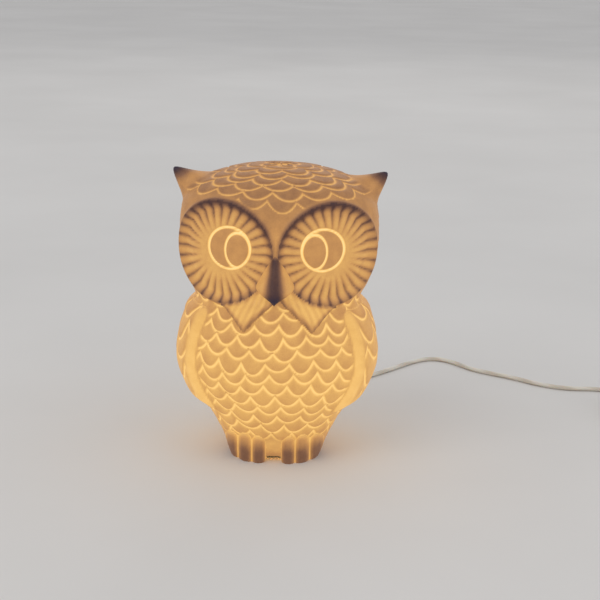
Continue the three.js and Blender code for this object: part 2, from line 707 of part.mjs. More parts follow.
const bulb = new THREE.Group()
bulb.position.z = CONTACT_FOOT + 1.4 + GAP // on the centre contact
lamp.add(bulb)
const TIP_HEIGHT = 1.3
const COLLAR_BOTTOM = TIP_HEIGHT + GAP
const COLLAR_HEIGHT = 2.4
const CAP_BOTTOM = COLLAR_BOTTOM + COLLAR_HEIGHT + GAP
const THREAD_TOP = CAP_BOTTOM + THREAD_TURNS * THREAD_PITCH
const CAP_TOP = THREAD_TOP + CAP_SKIRT
const CAP_BORE = THREAD_RADIUS - THREAD_DEPTH - CAP_WALL
const BULB_NECK_RADIUS = CAP_BORE - GAP

// The solder contact under the cap, and the black glass collar round it.
function bulbTip() {
  return turned([[0, 0], [1.4, 0.2], [2.2, TIP_HEIGHT], [0, TIP_HEIGHT]], SMALL_ROUND)
}

function bulbCollar() {
  const top = COLLAR_BOTTOM + COLLAR_HEIGHT
  return turned([[0, COLLAR_BOTTOM], [2.8, COLLAR_BOTTOM], [6, top], [0, top]])
}

function bulbCap() {
  const root = THREAD_RADIUS - THREAD_DEPTH
  const thread = []
  for (let turn = 0; turn < THREAD_TURNS; turn++) {
    const z = CAP_BOTTOM + turn * THREAD_PITCH
    thread.push([root, z], [THREAD_RADIUS, z + 0.45 * THREAD_PITCH])
  }
  return turned([
    ...thread, [root, THREAD_TOP], [THREAD_RADIUS, THREAD_TOP + 1], [THREAD_RADIUS, CAP_TOP],
    [CAP_BORE, CAP_TOP], [CAP_BORE, CAP_BOTTOM], [root, CAP_BOTTOM]
  ])
}

// The thin envelope of the bulb: neck, shoulder, straight side and domed end, open at its foot.
function bulbGlass() {
  const foot = CAP_TOP - CAP_SKIRT - 4
  const top = CAP_TOP + BULB_LENGTH
  const outer = [
    [BULB_NECK_RADIUS, foot], [BULB_NECK_RADIUS, CAP_TOP + GAP], [8, CAP_TOP + 3],
    [BULB_RADIUS - 1.2, CAP_TOP + 8], [BULB_RADIUS, CAP_TOP + 13], [BULB_RADIUS, top - 12]
  ]
  const dome = (radius) => [1, 2, 3, 4].map((step) => {
    const angle = (step * Math.PI) / 10
    return [radius * Math.cos(angle), top - 12 + (radius / BULB_RADIUS) * 12 * Math.sin(angle)]
  })
  const inner = outer.map(([radius, z]) => [radius - GLASS, z]).reverse()
  return turned([
    ...outer, ...dome(BULB_RADIUS), [0, top], [0, top - GLASS], ...dome(BULB_RADIUS - GLASS).reverse(),
    ...inner, outer[0]
  ])
}

const STEM_FOOT = CAP_TOP - CAP_SKIRT - 4
const STEM_TOP = CAP_TOP + 7
const FILAMENT_HEIGHT = CAP_TOP + 17
const SUPPORT_SPREAD = 5

function bulbStem() {
  const root = BULB_NECK_RADIUS - GLASS - GAP
  return turned(
    [[0, STEM_FOOT], [root, STEM_FOOT], [root - 0.6, STEM_FOOT + 2], [2, STEM_FOOT + 6],
      [1.7, STEM_TOP - 1.2],
      [2.4, STEM_TOP], [0, STEM_TOP]],
    SMALL_ROUND
  )
}

function filamentSupport(side) {
  const foot = STEM_TOP + GAP
  const top = FILAMENT_HEIGHT - 0.8
  return tube([[side * 1.4, 0, foot], [side * 3, 0, foot + 3.5], [side * SUPPORT_SPREAD, 0, top]], 0.35, 6, 6)
}

function filament() {
  const [half, rise] = [SUPPORT_SPREAD, 3]
  return tube(
    [[-half, 0, FILAMENT_HEIGHT], [-half / 2, 0, FILAMENT_HEIGHT + 0.8 * rise],
      [0, 0, FILAMENT_HEIGHT + rise],
      [half / 2, 0, FILAMENT_HEIGHT + 0.8 * rise], [half, 0, FILAMENT_HEIGHT]],
    0.5, 14, 8
  )
}

// ---------------------------------------------------------------- the free lead

const LEAD_ON_FLOOR = LEAD_RADIUS + 0.15

const SWITCH_AT = new THREE.Vector2(264, 82)
const COIL_AT = new THREE.Vector2(SWITCH_AT.x + COIL_RADIUS, 8)
const COIL_FOOT = TIE_THICKNESS + GAP
const COIL_OUTSIDE = COIL_RADIUS + COIL_BUNDLE_WIDTH / 2
const PLUG_AT = new THREE.Vector2(COIL_AT.x + COIL_RADIUS, 62) // middle of the plug's rear end

// From the base unit out behind the owl, round to the right, and to the rear end of the switch.
const LEAD_TO_SWITCH = [
  [0, RELIEF_END + GAP, LEAD_HEIGHT],
  [0.4, RELIEF_END + 8, 9.5],
  [2, RELIEF_END + 17, 6.6],
  [5.5, RELIEF_END + 27, 3.2],
  [10.5, 90, LEAD_ON_FLOOR],
  [17, 101, LEAD_ON_FLOOR],
  [27, 116, LEAD_ON_FLOOR],
  [39, 130, LEAD_ON_FLOOR],
  [52, 143, LEAD_ON_FLOOR],
  [66, 155, LEAD_ON_FLOOR],
  [79, 168.5, LEAD_ON_FLOOR],
  [91.5, 183, LEAD_ON_FLOOR],
  [103, 196, LEAD_ON_FLOOR],
  [114.5, 204.5, LEAD_ON_FLOOR],
  [125, 205.5, LEAD_ON_FLOOR],
  [134, 200, LEAD_ON_FLOOR],
  [142.5, 191, LEAD_ON_FLOOR],
  [151.5, 180.5, LEAD_ON_FLOOR],
  [163, 172.5, LEAD_ON_FLOOR],
  [176, 165, LEAD_ON_FLOOR],
  [188, 156.5, LEAD_ON_FLOOR],
  [200, 147.5, LEAD_ON_FLOOR],
  [212, 141.5, LEAD_ON_FLOOR],
  [226, 138.5, LEAD_ON_FLOOR],
  [240, 139, LEAD_ON_FLOOR],
  [252, 136.5, LEAD_ON_FLOOR],
  [260.5, 129, 2],
  [263.6, 119, 3.9],
  [SWITCH_AT.x, SWITCH_AT.y + SWITCH_LENGTH / 2, ENTRY_HEIGHT],
  [SWITCH_AT.x, SWITCH_AT.y + SWITCH_LENGTH / 2 - 4, ENTRY_HEIGHT]
]

// Where a lead that runs along y at the middle of the bundle meets the outside of the coil.
const COIL_MEETS = COIL_AT.y + Math.sqrt(COIL_OUTSIDE ** 2 - (COIL_RADIUS - LEAD_RADIUS) ** 2) + GAP

const LEAD_TO_COIL = [
  [SWITCH_AT.x, SWITCH_AT.y - SWITCH_LENGTH / 2 + 4, ENTRY_HEIGHT],
  [SWITCH_AT.x, SWITCH_AT.y - SWITCH_LENGTH / 2, ENTRY_HEIGHT],
  [SWITCH_AT.x, SWITCH_AT.y - SWITCH_LENGTH / 2 - 7, 4.2],
  [SWITCH_AT.x, COIL_MEETS + 8, COIL_FOOT + LEAD_RADIUS],
  [SWITCH_AT.x, COIL_MEETS, COIL_FOOT + LEAD_RADIUS]
]

const LEAD_TO_PLUG = [
  [PLUG_AT.x, COIL_MEETS, PLUG_THICKNESS / 2 - 0.6],
  [PLUG_AT.x, COIL_MEETS + 8, PLUG_THICKNESS / 2 - 0.1],
  [PLUG_AT.x, PLUG_AT.y - PLUG_RELIEF_LENGTH, PLUG_THICKNESS / 2],
  [PLUG_AT.x, PLUG_AT.y - GAP, PLUG_THICKNESS / 2]
]

// The bundle of turns, as one ring with rounded edges.
function leadCoil() {
  const [low, high] = [COIL_FOOT, COIL_FOOT + COIL_BUNDLE_HEIGHT]
  const [inside, outside] = [COIL_RADIUS - COIL_BUNDLE_WIDTH / 2, COIL_OUTSIDE]
  const edge = LEAD_RADIUS * 0.6
  return turned([
    [inside + edge, low], [outside - edge, low], [outside, low + edge], [outside, high - edge],
    [outside - edge, high], [inside + edge, high], [inside, high - edge], [inside, low + edge],
    [inside + edge, low]
  ]).translate(COIL_AT.x, COIL_AT.y, 0)
}

// A hook-and-loop band round the bundle, on the near side of the coil.
function coilTie() {
  const clearance = 2 * GAP
  const middle = COIL_AT.y - COIL_RADIUS
  const halfInside = COIL_BUNDLE_WIDTH / 2 + clearance
  const top = COIL_FOOT + COIL_BUNDLE_HEIGHT + GAP
  const band = (half, z0, z1) => drawnOut(
    'x', [[middle - half, z0], [middle + half, z0], [middle + half, z1], [middle - half, z1]],
    COIL_AT.x - TIE_WIDTH / 2, COIL_AT.x + TIE_WIDTH / 2
  )
  const hollow = box(
    COIL_AT.x - TIE_WIDTH, COIL_AT.x + TIE_WIDTH, middle - halfInside, middle + halfInside, TIE_THICKNESS, top
  )
  return cut(band(halfInside + TIE_THICKNESS, 0, top + TIE_THICKNESS), hollow)
}

// ---------------------------------------------------------------- switch

const inlineSwitch = new THREE.Group()
inlineSwitch.position.set(SWITCH_AT.x, SWITCH_AT.y, 0)
lamp.add(inlineSwitch)
const ROOF = SWITCH_HEIGHT - SWITCH_WALL
const PIVOT_HEIGHT = SWITCH_HEIGHT - 4
const WINDOW = [ROCKER_WIDTH / 2 + GAP, ROCKER_LENGTH / 2 + 0.9]
const TRUNNION_RADIUS = 1.2
const TRUNNION_REACH = 1.3
const BOSS_RADIUS = 3
const SCREW_X = SWITCH_WIDTH / 2 - 3.8
const SCREW_Y = SWITCH_LENGTH / 2 - 6.2
const switchOutline = roundedRectangle(SWITCH_WIDTH / 2, SWITCH_LENGTH / 2, 6)
const switchHollow = roundedRectangle(SWITCH_WIDTH / 2 - SWITCH_WALL, SWITCH_LENGTH / 2 - SWITCH_WALL, 4.4)

const atSwitchScrews = (make) => SIDES.map((side) => make().translate(side * SCREW_X, side * SCREW_Y, 0))

function switchBase() {
  const top = SWITCH_SPLIT - GAP / 2
  const tray = cut(
    drawnOut('z', switchOutline, 0, top), drawnOut('z', switchHollow, SWITCH_WALL, SWITCH_HEIGHT)
  )
  const entries = alongY(rod(LEAD_RADIUS + GAP, -SWITCH_LENGTH, SWITCH_LENGTH), 0, ENTRY_HEIGHT)
  const bosses = atSwitchScrews(() => rod(BOSS_RADIUS, 0, top))
  const bores = atSwitchScrews(() => rod(SMALL_SCREW_RADIUS + GAP, -1, SWITCH_HEIGHT))
  const recesses = atSwitchScrews(() => rod(SMALL_HEAD_RADIUS + GAP, -1, SWITCH_WALL))
  return cut(join(tray, ...bosses), entries, ...bores, ...recesses)
}

function switchCover() {
  const low = SWITCH_SPLIT + GAP / 2
  const lid = cut(drawnOut('z', switchOutline, low, SWITCH_HEIGHT), drawnOut('z', switchHollow, 0, ROOF))
  const [windowX, windowY] = WINDOW
  const cheeks = SIDES.map((side) =>
    box(
      ...[side * windowX, side * (SWITCH_WIDTH / 2 - 1)].sort((a, b) => a - b),
      -3, 3, PIVOT_HEIGHT - 3, ROOF + 1
    )
  )
  const bosses = atSwitchScrews(() => rod(BOSS_RADIUS, low, ROOF + 1))
  const window = box(-windowX, windowX, -windowY, windowY, low - 1, SWITCH_HEIGHT + 1)
  const seatReach = ROCKER_WIDTH / 2 + TRUNNION_REACH + GAP
  const seats = rod(TRUNNION_RADIUS + GAP, -seatReach, seatReach)
  seats.rotateY(Math.PI / 2).translate(0, 0, PIVOT_HEIGHT)
  const bores = atSwitchScrews(() => rod(SMALL_SCREW_RADIUS + GAP, 0, ROOF - 1))
  return cut(join(lid, ...cheeks, ...bosses), window, seats, ...bores)
}

// A rocker with a hollowed top and a trunnion on each side, tipped to its "on" side.
function switchRocker() {
  const [half, width] = [ROCKER_LENGTH / 2, ROCKER_WIDTH / 2]
  const outline = [
    [-3, -2.5], [3, -2.5], [half - 0.4, 1], [half, 4.6], [half * 0.5, 3.6], [0, 3.2], [-half * 0.5, 3.6],
    [-half, 4.6], [-half + 0.4, 1]
  ]
  const axle = rod(TRUNNION_RADIUS, -width - TRUNNION_REACH, width + TRUNNION_REACH).rotateY(Math.PI / 2)
  return join(drawnOut('x', outline, -width, width), axle)
}

function switchScrew(side) {
  const head = SWITCH_WALL - GAP
  const profile = [
    [0, 0.4], [SMALL_HEAD_RADIUS, 0.4], [SMALL_HEAD_RADIUS, head], [SMALL_SCREW_RADIUS, head],
    [SMALL_SCREW_RADIUS, ROOF - 2], [0, ROOF - 2]
  ]
  return turned(profile, SMALL_ROUND).translate(side * SCREW_X, side * SCREW_Y, 0)
}

// A brass strip on the tray's floor with a tongue bent up under the rocker.
function switchContact(side) {
  const floor = SWITCH_WALL + GAP
  const strip = [
    [side * 3, floor], [side * 16, floor], [side * 16, floor + CONTACT_SHEET],
    [side * (3 + CONTACT_SHEET), floor + CONTACT_SHEET], [side * (3 + CONTACT_SHEET), floor + 6],
    [side * 3, floor + 6]
  ]
  return drawnOut('x', strip, 3.2, 6.2)
}

// ---------------------------------------------------------------- plug

const plug = new THREE.Group()
plug.position.set(PLUG_AT.x, PLUG_AT.y, PLUG_THICKNESS / 2)
lamp.add(plug)
const PLUG_EDGE = 1.2

// A flat body that widens from the neck to the face, with a bevel all round.
function plugBody() {
  const [neck, face, long] = [PLUG_NECK / 2 - PLUG_EDGE, PLUG_WIDTH / 2 - PLUG_EDGE, PLUG_LENGTH - PLUG_EDGE]
  const half = [
    [neck, PLUG_EDGE], [neck + 0.8, 9], [face - 1.5, 20], [face, 25], [face, long - 2], [face - 2, long]
  ]
  const outline = [...half, ...half.map(([x, y]) => [-x, y]).reverse()]
  const shape = new THREE.Shape(outline.map(([x, y]) => new THREE.Vector2(x, y)))
  const body = closed(
    new THREE.ExtrudeGeometry(shape, {
      depth: PLUG_THICKNESS - 2 * PLUG_EDGE,
      bevelThickness: PLUG_EDGE,
      bevelSize: PLUG_EDGE,
      bevelSegments: 2
    }).translate(0, 0, PLUG_EDGE - PLUG_THICKNESS / 2)
  )
  const sockets = SIDES.map((side) =>
    alongY(rod(PIN_CORE_RADIUS + GAP, PLUG_LENGTH - 8, PLUG_LENGTH + 1), (side * PIN_SPACING) / 2, 0)
  )
  return cut(body, ...sockets)
}

function plugPin(side) {
  const tip = PLUG_LENGTH + PIN_LENGTH
  const bare = tip - PIN_BARE
  const profile = [
    [0, PLUG_LENGTH - 7.5], [PIN_CORE_RADIUS, PLUG_LENGTH - 7.5], [PIN_CORE_RADIUS, bare], [PIN_RADIUS, bare],
    [PIN_RADIUS, tip - 1.4], [PIN_RADIUS - 0.8, tip - 0.3], [0, tip]
  ]
  return alongY(turned(profile, SMALL_ROUND), (side * PIN_SPACING) / 2, 0)
}

function pinSleeve(side) {
  const [low, high] = [PLUG_LENGTH + GAP, PLUG_LENGTH + PIN_LENGTH - PIN_BARE - GAP]
  return alongY(pipe(PIN_CORE_RADIUS + GAP, PIN_RADIUS, low, high, SMALL_ROUND), (side * PIN_SPACING) / 2, 0)
}

function plugRelief() {
  const bore = LEAD_RADIUS + GAP
  const [far, near] = [-PLUG_RELIEF_LENGTH, -GAP]
  return alongY(
    turned(
      [[bore, far], [RELIEF_TIP_RADIUS, far], [RELIEF_RADIUS, near - 5], [RELIEF_RADIUS + 0.8, near - 3],
        [RELIEF_RADIUS + 0.8, near], [bore, near], [bore, far]],
      16
    ),
    0, 0
  )
}

// ---------------------------------------------------------------- assembly

// One mesh for each of a pair of like pieces, the one at -X first.
function addPair(name, make, finish, parent) {
  add(`${name}_left`, make(-1), finish, parent)
  add(`${name}_right`, make(1), finish, parent)
}

const shell = add('owl_shell', owlShell(), porcelain)

// The beak reaches further from the axis than the back does, so everything moves back until the
// origin lies midway between the two.
shell.geometry.computeBoundingBox()
const { min: shellLow, max: shellHigh } = shell.geometry.boundingBox
lamp.position.y = -(shellLow.y + shellHigh.y) / 2

add('base_plate', basePlate(), whitePlastic)
for (let index = 0; index < PAD_COUNT; index++) add(`base_pad_${index + 1}`, basePad(index), rubber)
add('holder_bracket', holderBracket(), steel)
addPair('bracket_screw', bracketScrew, steel)
add('nipple', pipe(NIPPLE_BORE, NIPPLE_RADIUS, NIPPLE_BOTTOM, NIPPLE_TOP), brass)
add('nipple_nut', nippleNut(), steel)
add('strain_relief', strainRelief(), leadSheath)
add('cord_clamp', cordClamp(), whitePlastic)
addPair('clamp_screw', clampScrew, steel)
add('lead_inside', leadInside(), leadSheath)
addPair('lead_core', leadCore, brass)

add('holder_cap', holderCap(), phenolic)
add('holder_insert', holderInsert(), phenolic)
add('holder_sleeve', holderSleeve(), phenolic)
const threadSleeve = pipe(
  THREAD_SLEEVE_BORE, THREAD_SLEEVE_BORE + CONTACT_SHEET, CONTACT_FOOT, SLEEVE_TOP - 4
)
add('thread_sleeve', threadSleeve, brass)
add('centre_contact', centreContact(), brass)
addPair('terminal_screw', terminalScrew, steel)

add('bulb_tip', bulbTip(), steel, bulb)
add('bulb_collar', bulbCollar(), blackGlass, bulb)
add('bulb_cap', bulbCap(), steel, bulb)
add('bulb_glass', bulbGlass(), glass, bulb)
add('bulb_stem', bulbStem(), glass, bulb)
addPair('filament_support', filamentSupport, steel, bulb)
add('bulb_filament', filament(), tungsten, bulb)

add('lead_to_switch', tube(LEAD_TO_SWITCH, LEAD_RADIUS, 58), leadSheath)
add('lead_to_coil', tube(LEAD_TO_COIL, LEAD_RADIUS, 8), leadSheath)
add('lead_coil', leadCoil(), leadSheath)
add('coil_tie', coilTie(), rubber)
add('lead_to_plug', tube(LEAD_TO_PLUG, LEAD_RADIUS, 6), leadSheath)

add('switch_base', switchBase(), whitePlastic, inlineSwitch)
add('switch_cover', switchCover(), whitePlastic, inlineSwitch)
addPair('switch_screw', switchScrew, steel, inlineSwitch)
addPair('switch_contact', switchContact, brass, inlineSwitch)
const rocker = add('switch_rocker', switchRocker(), whitePlastic, inlineSwitch)
rocker.position.z = PIVOT_HEIGHT
rocker.rotation.x = THREE.MathUtils.degToRad(ROCKER_TILT)

add('plug_body', plugBody(), whitePlastic, plug)
addPair('plug_pin', plugPin, brass, plug)
addPair('pin_sleeve', pinSleeve, rubber, plug)
add('plug_relief', plugRelief(), whitePlastic, plug)

export default lamp
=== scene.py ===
"""A porcelain owl that stands over a small lampholder as a table lamp, with its lead, switch and plug.

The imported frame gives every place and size. The visible surfaces are grids of points worked out with
numpy, in millimetres, and put into meshes in metres.
"""

import logging
import math
from dataclasses import dataclass, field
from enum import Enum
from typing import Callable, Optional, Protocol, Sequence

import bmesh
import bpy
import numpy as np
from mathutils import Matrix, Vector


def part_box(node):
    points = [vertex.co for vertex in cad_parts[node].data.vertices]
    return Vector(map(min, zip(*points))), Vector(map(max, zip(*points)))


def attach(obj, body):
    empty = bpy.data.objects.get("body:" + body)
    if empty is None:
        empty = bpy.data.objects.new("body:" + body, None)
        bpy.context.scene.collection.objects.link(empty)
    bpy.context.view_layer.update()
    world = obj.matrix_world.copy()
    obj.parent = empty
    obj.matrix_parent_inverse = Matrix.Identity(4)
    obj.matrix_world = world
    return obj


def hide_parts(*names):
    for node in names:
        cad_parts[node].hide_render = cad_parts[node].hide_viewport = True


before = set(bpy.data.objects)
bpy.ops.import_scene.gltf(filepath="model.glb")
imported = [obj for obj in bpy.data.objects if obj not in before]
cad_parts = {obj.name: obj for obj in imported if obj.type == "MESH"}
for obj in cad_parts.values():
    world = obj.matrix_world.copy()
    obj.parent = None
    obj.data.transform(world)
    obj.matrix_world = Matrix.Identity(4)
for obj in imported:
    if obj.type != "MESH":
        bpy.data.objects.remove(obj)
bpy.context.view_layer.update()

MM = 0.001
SAME_POINT = 0.002 * MM
FLAT_ANGLE = math.radians(0.5)
SHARP_ANGLE = math.radians(38)
LEAD_GAP = 0.3

Array = np.ndarray
Colour = tuple[float, float, float]
Ring = tuple[float, float, float, float]
log = logging.getLogger("owl_lamp")


# ---------------------------------------------------------------- mathematics


def smooth(low: float, high: float, value: Array) -> Array:
    """Rises smoothly from 0 at low to 1 at high.

    Args:
        low: the value where the rise starts.
        high: the value where it ends; where it is under low, the function falls instead.
        value: where it is wanted.

    Returns:
        3 t squared less 2 t cubed, with t the share of the way, kept between 0 and 1.
    """
    share = np.clip((value - low) / (high - low), 0.0, 1.0)
    return share * share * (3.0 - 2.0 * share)


def blend(start: Array, end: Array, share: Array) -> Array:
    """Start where share is 0, end where it is 1, and a straight mix between."""
    return start + (end - start) * share


def spread(row: Array, index: Array) -> Array:
    """A steady number from 0 to 1 for each pair, which looks drawn at random."""
    tangled = np.sin(12.9898 * row + 78.233 * index) * 43758.5453
    return tangled - np.floor(tangled)


def through(stations: Array, share: Array) -> Array:
    """A smooth curve through evenly timed stations.

    Between two stations it is the cubic whose slopes are half the step between the neighbours.

    Args:
        stations: one row for each station.
        share: from 0 at the first station to 1 at the last, of any shape.

    Returns:
        The points, with the stations' columns as the last axis.
    """
    last = len(stations) - 1
    place = np.clip(share, 0.0, 1.0) * last
    index = np.minimum(place.astype(int), last - 1)
    t = (place - index)[..., None]
    before, here = stations[np.maximum(index - 1, 0)], stations[index]
    after, beyond = stations[index + 1], stations[np.minimum(index + 2, last)]
    slope_here, slope_after = 0.5 * (after - before), 0.5 * (beyond - here)
    cubic = 2 * here - 2 * after + slope_here + slope_after
    square = -3 * here + 3 * after - 2 * slope_here - slope_after
    return ((cubic * t + square) * t + slope_here) * t + here


def evenly(points: Array, step: float) -> Array:
    """A smooth line through given points, as points a step apart.

    Args:
        points: the set points, in order.
        step: the distance wanted between two neighbours.

    Returns:
        The line's points.
    """
    fine = through(points, np.linspace(0.0, 1.0, 24 * len(points)))
    run = np.concatenate([[0.0], np.cumsum(np.linalg.norm(np.diff(fine, axis=0), axis=1))])
    places = np.linspace(0.0, run[-1], max(2, int(round(run[-1] / step)) + 1))
    return np.stack([np.interp(places, run, fine[:, axis]) for axis in range(3)], axis=1)


# ---------------------------------------------------------------- meshes


def quads(rows: int, columns: int, start: int = 0, outwards: bool = True) -> list[list[int]]:
    """The four-sided faces between rows of points that close on themselves.

    Args:
        rows: number of rows.
        columns: points in a row.
        start: index of the first point.
        outwards: False turns the faces round.

    Returns:
        Four indices for each face.
    """
    row, column = np.meshgrid(np.arange(rows - 1), np.arange(columns), indexing="ij")
    here = start + row * columns
    nearby = (column + 1) % columns
    corners = [here + column, here + nearby, here + columns + nearby, here + columns + column]
    if not outwards:
        corners.reverse()
    return np.stack(corners, axis=-1).reshape(-1, 4).tolist()


def fan(start: int, columns: int, pole: int, outwards: bool = True) -> list[list[int]]:
    """The three-sided faces that close a ring of points at a pole.

    Args:
        start: index of the ring's first point.
        columns: points in the ring.
        pole: index of the pole's point.
        outwards: False turns the faces round.

    Returns:
        Three indices for each face.
    """
    column = np.arange(columns)
    corners = [start + column, start + (column + 1) % columns, np.full(columns, pole)]
    if not outwards:
        corners.reverse()
    return np.stack(corners, axis=-1).tolist()


def rim(columns: int, outer: int, inner: int) -> list[list[int]]:
    """The four-sided faces that join an outer ring of points to an inner one below a wall.

    Args:
        columns: points in each ring.
        outer: index of the outer ring's first point.
        inner: index of the inner ring's first point.

    Returns:
        Four indices for each face.
    """
    column = np.arange(columns)
    nearby = (column + 1) % columns
    corners = [outer + column, inner + column, inner + nearby, outer + nearby]
    return np.stack(corners, axis=-1).tolist()


def placed(name: str, data: object) -> bpy.types.Object:
    """A new object around a mesh, a light or a camera, linked to the scene.

    Args:
        name: the object's name.
        data: what the object holds.

    Returns:
        The object, at the origin.
    """
    thing = bpy.data.objects.new(name, data)
    bpy.context.scene.collection.objects.link(thing)
    return thing


def mesh_object(name: str, points: Array, faces: list[list[int]]) -> bpy.types.Object:
    """A new object whose soft-shaded mesh has these points, given in millimetres.

    Args:
        name: the piece's name.
        points: one row for each point.
        faces: indices of each face's corners, seen from outside.

    Returns:
        The object, at the origin.
    """
    mesh = bpy.data.meshes.new(name)
    mesh.from_pydata((points * MM).tolist(), [], faces)
    mesh.polygons.foreach_set("use_smooth", np.ones(len(mesh.polygons), dtype=bool))
    mesh.update()
    return placed(name, mesh)


def attribute(piece: bpy.types.Object, name: str, values: Array) -> None:
    """Stores a number at each point of a piece, for its finish to read."""
    layer = piece.data.attributes.new(name, "FLOAT", "POINT")
    layer.data.foreach_set("value", np.ascontiguousarray(values, dtype=np.float32).ravel())


def swept(name: str, line: Array, radius: Array, sides: int) -> bpy.types.Object:
    """A round piece along a line, closed at both ends.

    Each ring is a circle across the line's own direction, counted from the level direction
    across the line, so the line never stands upright.

    Args:
        name: the piece's name.
        line: the middle line, in millimetres.
        radius: the radius at each of its points.
        sides: points in a ring.

    Returns:
        The piece, with the attributes run, the distance along it, and turn, the angle round it.
    """
    ahead = np.gradient(line, axis=0)
    ahead /= np.linalg.norm(ahead, axis=1, keepdims=True)
    side = np.cross(ahead, [0.0, 0.0, 1.0])
    side /= np.linalg.norm(side, axis=1, keepdims=True)
    over = np.cross(side, ahead)
    turn = 2 * math.pi * np.arange(sides) / sides
    ring = side[:, None] * np.cos(turn)[None, :, None] + over[:, None] * np.sin(turn)[None, :, None]
    rings = line[:, None] + ring * np.broadcast_to(radius, len(line))[:, None, None]
    count = len(line)
    points = np.concatenate([rings.reshape(-1, 3), line[:1], line[-1:]])
    faces = quads(count, sides, outwards=False)
    faces += fan(0, sides, count * sides, True) + fan((count - 1) * sides, sides, count * sides + 1, False)
    piece = mesh_object(name, points, faces)
    run = np.concatenate([[0.0], np.cumsum(np.linalg.norm(np.diff(line, axis=0), axis=1))])
    along = np.repeat(run, sides)
    attribute(piece, "run", np.concatenate([along, run[:1], run[-1:]]))
    attribute(piece, "turn", np.concatenate([np.tile(turn, count), [0.0, 0.0]]))
    return piece


def node_corners(node: str) -> tuple[Array, Array]:
    """A node's lowest and highest corners, in millimetres."""
    low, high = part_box(node)
    return np.array(low) / MM, np.array(high) / MM


def softened(node: str, edge: float, name: str) -> bpy.types.Object:
    """A copy of a node with its faces merged and its edges rounded.

    Args:
        node: the node's name.
        edge: width of the rounding in millimetres.
        name: the new piece's name.

    Returns:
        The piece, which stands for the node.
    """
    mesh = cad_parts[node].data.copy()
    mesh.name = name
    mesh.materials.clear()
    shape = bmesh.new()
    shape.from_mesh(mesh)
    bmesh.ops.remove_doubles(shape, verts=shape.verts, dist=SAME_POINT)
    bmesh.ops.dissolve_limit(
        shape, angle_limit=FLAT_ANGLE, verts=shape.verts, edges=shape.edges, delimit={"NORMAL"}
    )
    shape.to_mesh(mesh)
    shape.free()
    mesh.polygons.foreach_set("use_smooth", np.ones(len(mesh.polygons), dtype=bool))
    mesh.set_sharp_from_angle(angle=SHARP_ANGLE)
    piece = placed(name, mesh)
    rounding = piece.modifiers.new("rounded edges", "BEVEL")
    rounding.width = edge * MM
    rounding.segments = 2
    rounding.limit_method = "ANGLE"
    rounding.angle_limit = SHARP_ANGLE
    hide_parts(node)
    return piece


# ---------------------------------------------------------------- finishes


class Shader:
    """A material with one Principled shader, and short calls that add nodes to it."""

    def __init__(self, name: str) -> None:
        """Starts a plain material.

        Args:
            name: the material's name.
        """
        self.material = bpy.data.materials.new(name)
        self.material.use_nodes = True
        self.nodes = self.material.node_tree.nodes
        self.links = self.material.node_tree.links
        self.surface = self.nodes["Principled BSDF"]

    def add(self, kind: str, inputs: Optional[dict] = None, **settings: object) -> bpy.types.Node:
        """Adds a node.

        Args:
            kind: the node's type.
            inputs: for a socket's name or number, its value or the output socket that feeds it.
            settings: the node's own properties.

        Returns:
            The node.
        """
        node = self.nodes.new(kind)
        for key, value in settings.items():
            setattr(node, key, value)
        for key, value in (inputs or {}).items():
            self.feed(node.inputs[key], value)
        return node

    def feed(self, socket: bpy.types.NodeSocket, value: object) -> None:
        """Gives an input its value.

        Args:
            socket: the input.
            value: an output socket, which is linked, or a value, which is set.
        """
        if isinstance(value, bpy.types.NodeSocket):
            self.links.new(value, socket)
        else:
            socket.default_value = value

    def math(self, operation: str, first: object, second: object = 0.0, clamp: bool = False) -> object:
        """The output of one sum, product or other operation on two numbers."""
        node = self.add("ShaderNodeMath", {0: first, 1: second}, operation=operation, use_clamp=clamp)
        return node.outputs[0]

    def read(self, name: str) -> object:
        """A number that the mesh stores at its points."""
        return self.add("ShaderNodeAttribute", attribute_name=name).outputs["Fac"]

    def place(self) -> object:
        """The object's own coordinates, in metres."""
        return self.add("ShaderNodeTexCoord").outputs["Object"]

    def noise(self, scale: float, detail: float = 3.0, place: object = None) -> object:
        """A soft random field.

        Args:
            scale: its waves in a metre.
            detail: how many finer layers it has.
            place: the coordinates it is read at, or None for the object's own.

        Returns:
            The output socket, which runs about 0.5.
        """
        where = place if place is not None else self.place()
        node = self.add("ShaderNodeTexNoise", {"Vector": where, "Scale": scale, "Detail": detail})
        return node.outputs["Fac"]

    def between(self, value: object, low: float, high: float, start: float, end: float) -> object:
        """A number that goes smoothly between two others.

        Args:
            value: what it follows.
            low: the value at which it starts to change.
            high: the value at which it ends.
            start: the number at the low value.
            end: the number at the high value.

        Returns:
            The output socket.
        """
        node = self.add(
            "ShaderNodeMapRange",
            {"Value": value, "From Min": low, "From Max": high, "To Min": start, "To Max": end},
            interpolation_type="SMOOTHSTEP",
        )
        return node.outputs["Result"]

    def ramp(self, value: object, stops: Sequence[tuple[float, tuple[float, float, float]]]) -> object:
        """A colour looked up along a row of stops.

        Args:
            value: where along the row it is looked up.
            stops: for each stop its position and its colour, in rising order.

        Returns:
            The output socket.
        """
        node = self.add("ShaderNodeValToRGB", {0: value})
        elements = node.color_ramp.elements
        while len(elements) < len(stops):
            elements.new(0.5)
        for element, (position, colour) in zip(elements, stops):
            element.position = position
            element.color = (*colour, 1.0)
        return node.outputs["Color"]

    def bump(self, height: object, depth: float) -> None:
        """Raises the surface by up to a depth in millimetres, as light sees it."""
        node = self.add("ShaderNodeBump", {"Height": height, "Distance": depth * MM, "Strength": 1.0})
        self.links.new(node.outputs["Normal"], self.surface.inputs["Normal"])

    def set(self, **sockets: object) -> None:
        """Feeds the shader's own sockets, written with underscores for spaces."""
        for key, value in sockets.items():
            self.feed(self.surface.inputs[key.replace("_", " ")], value)


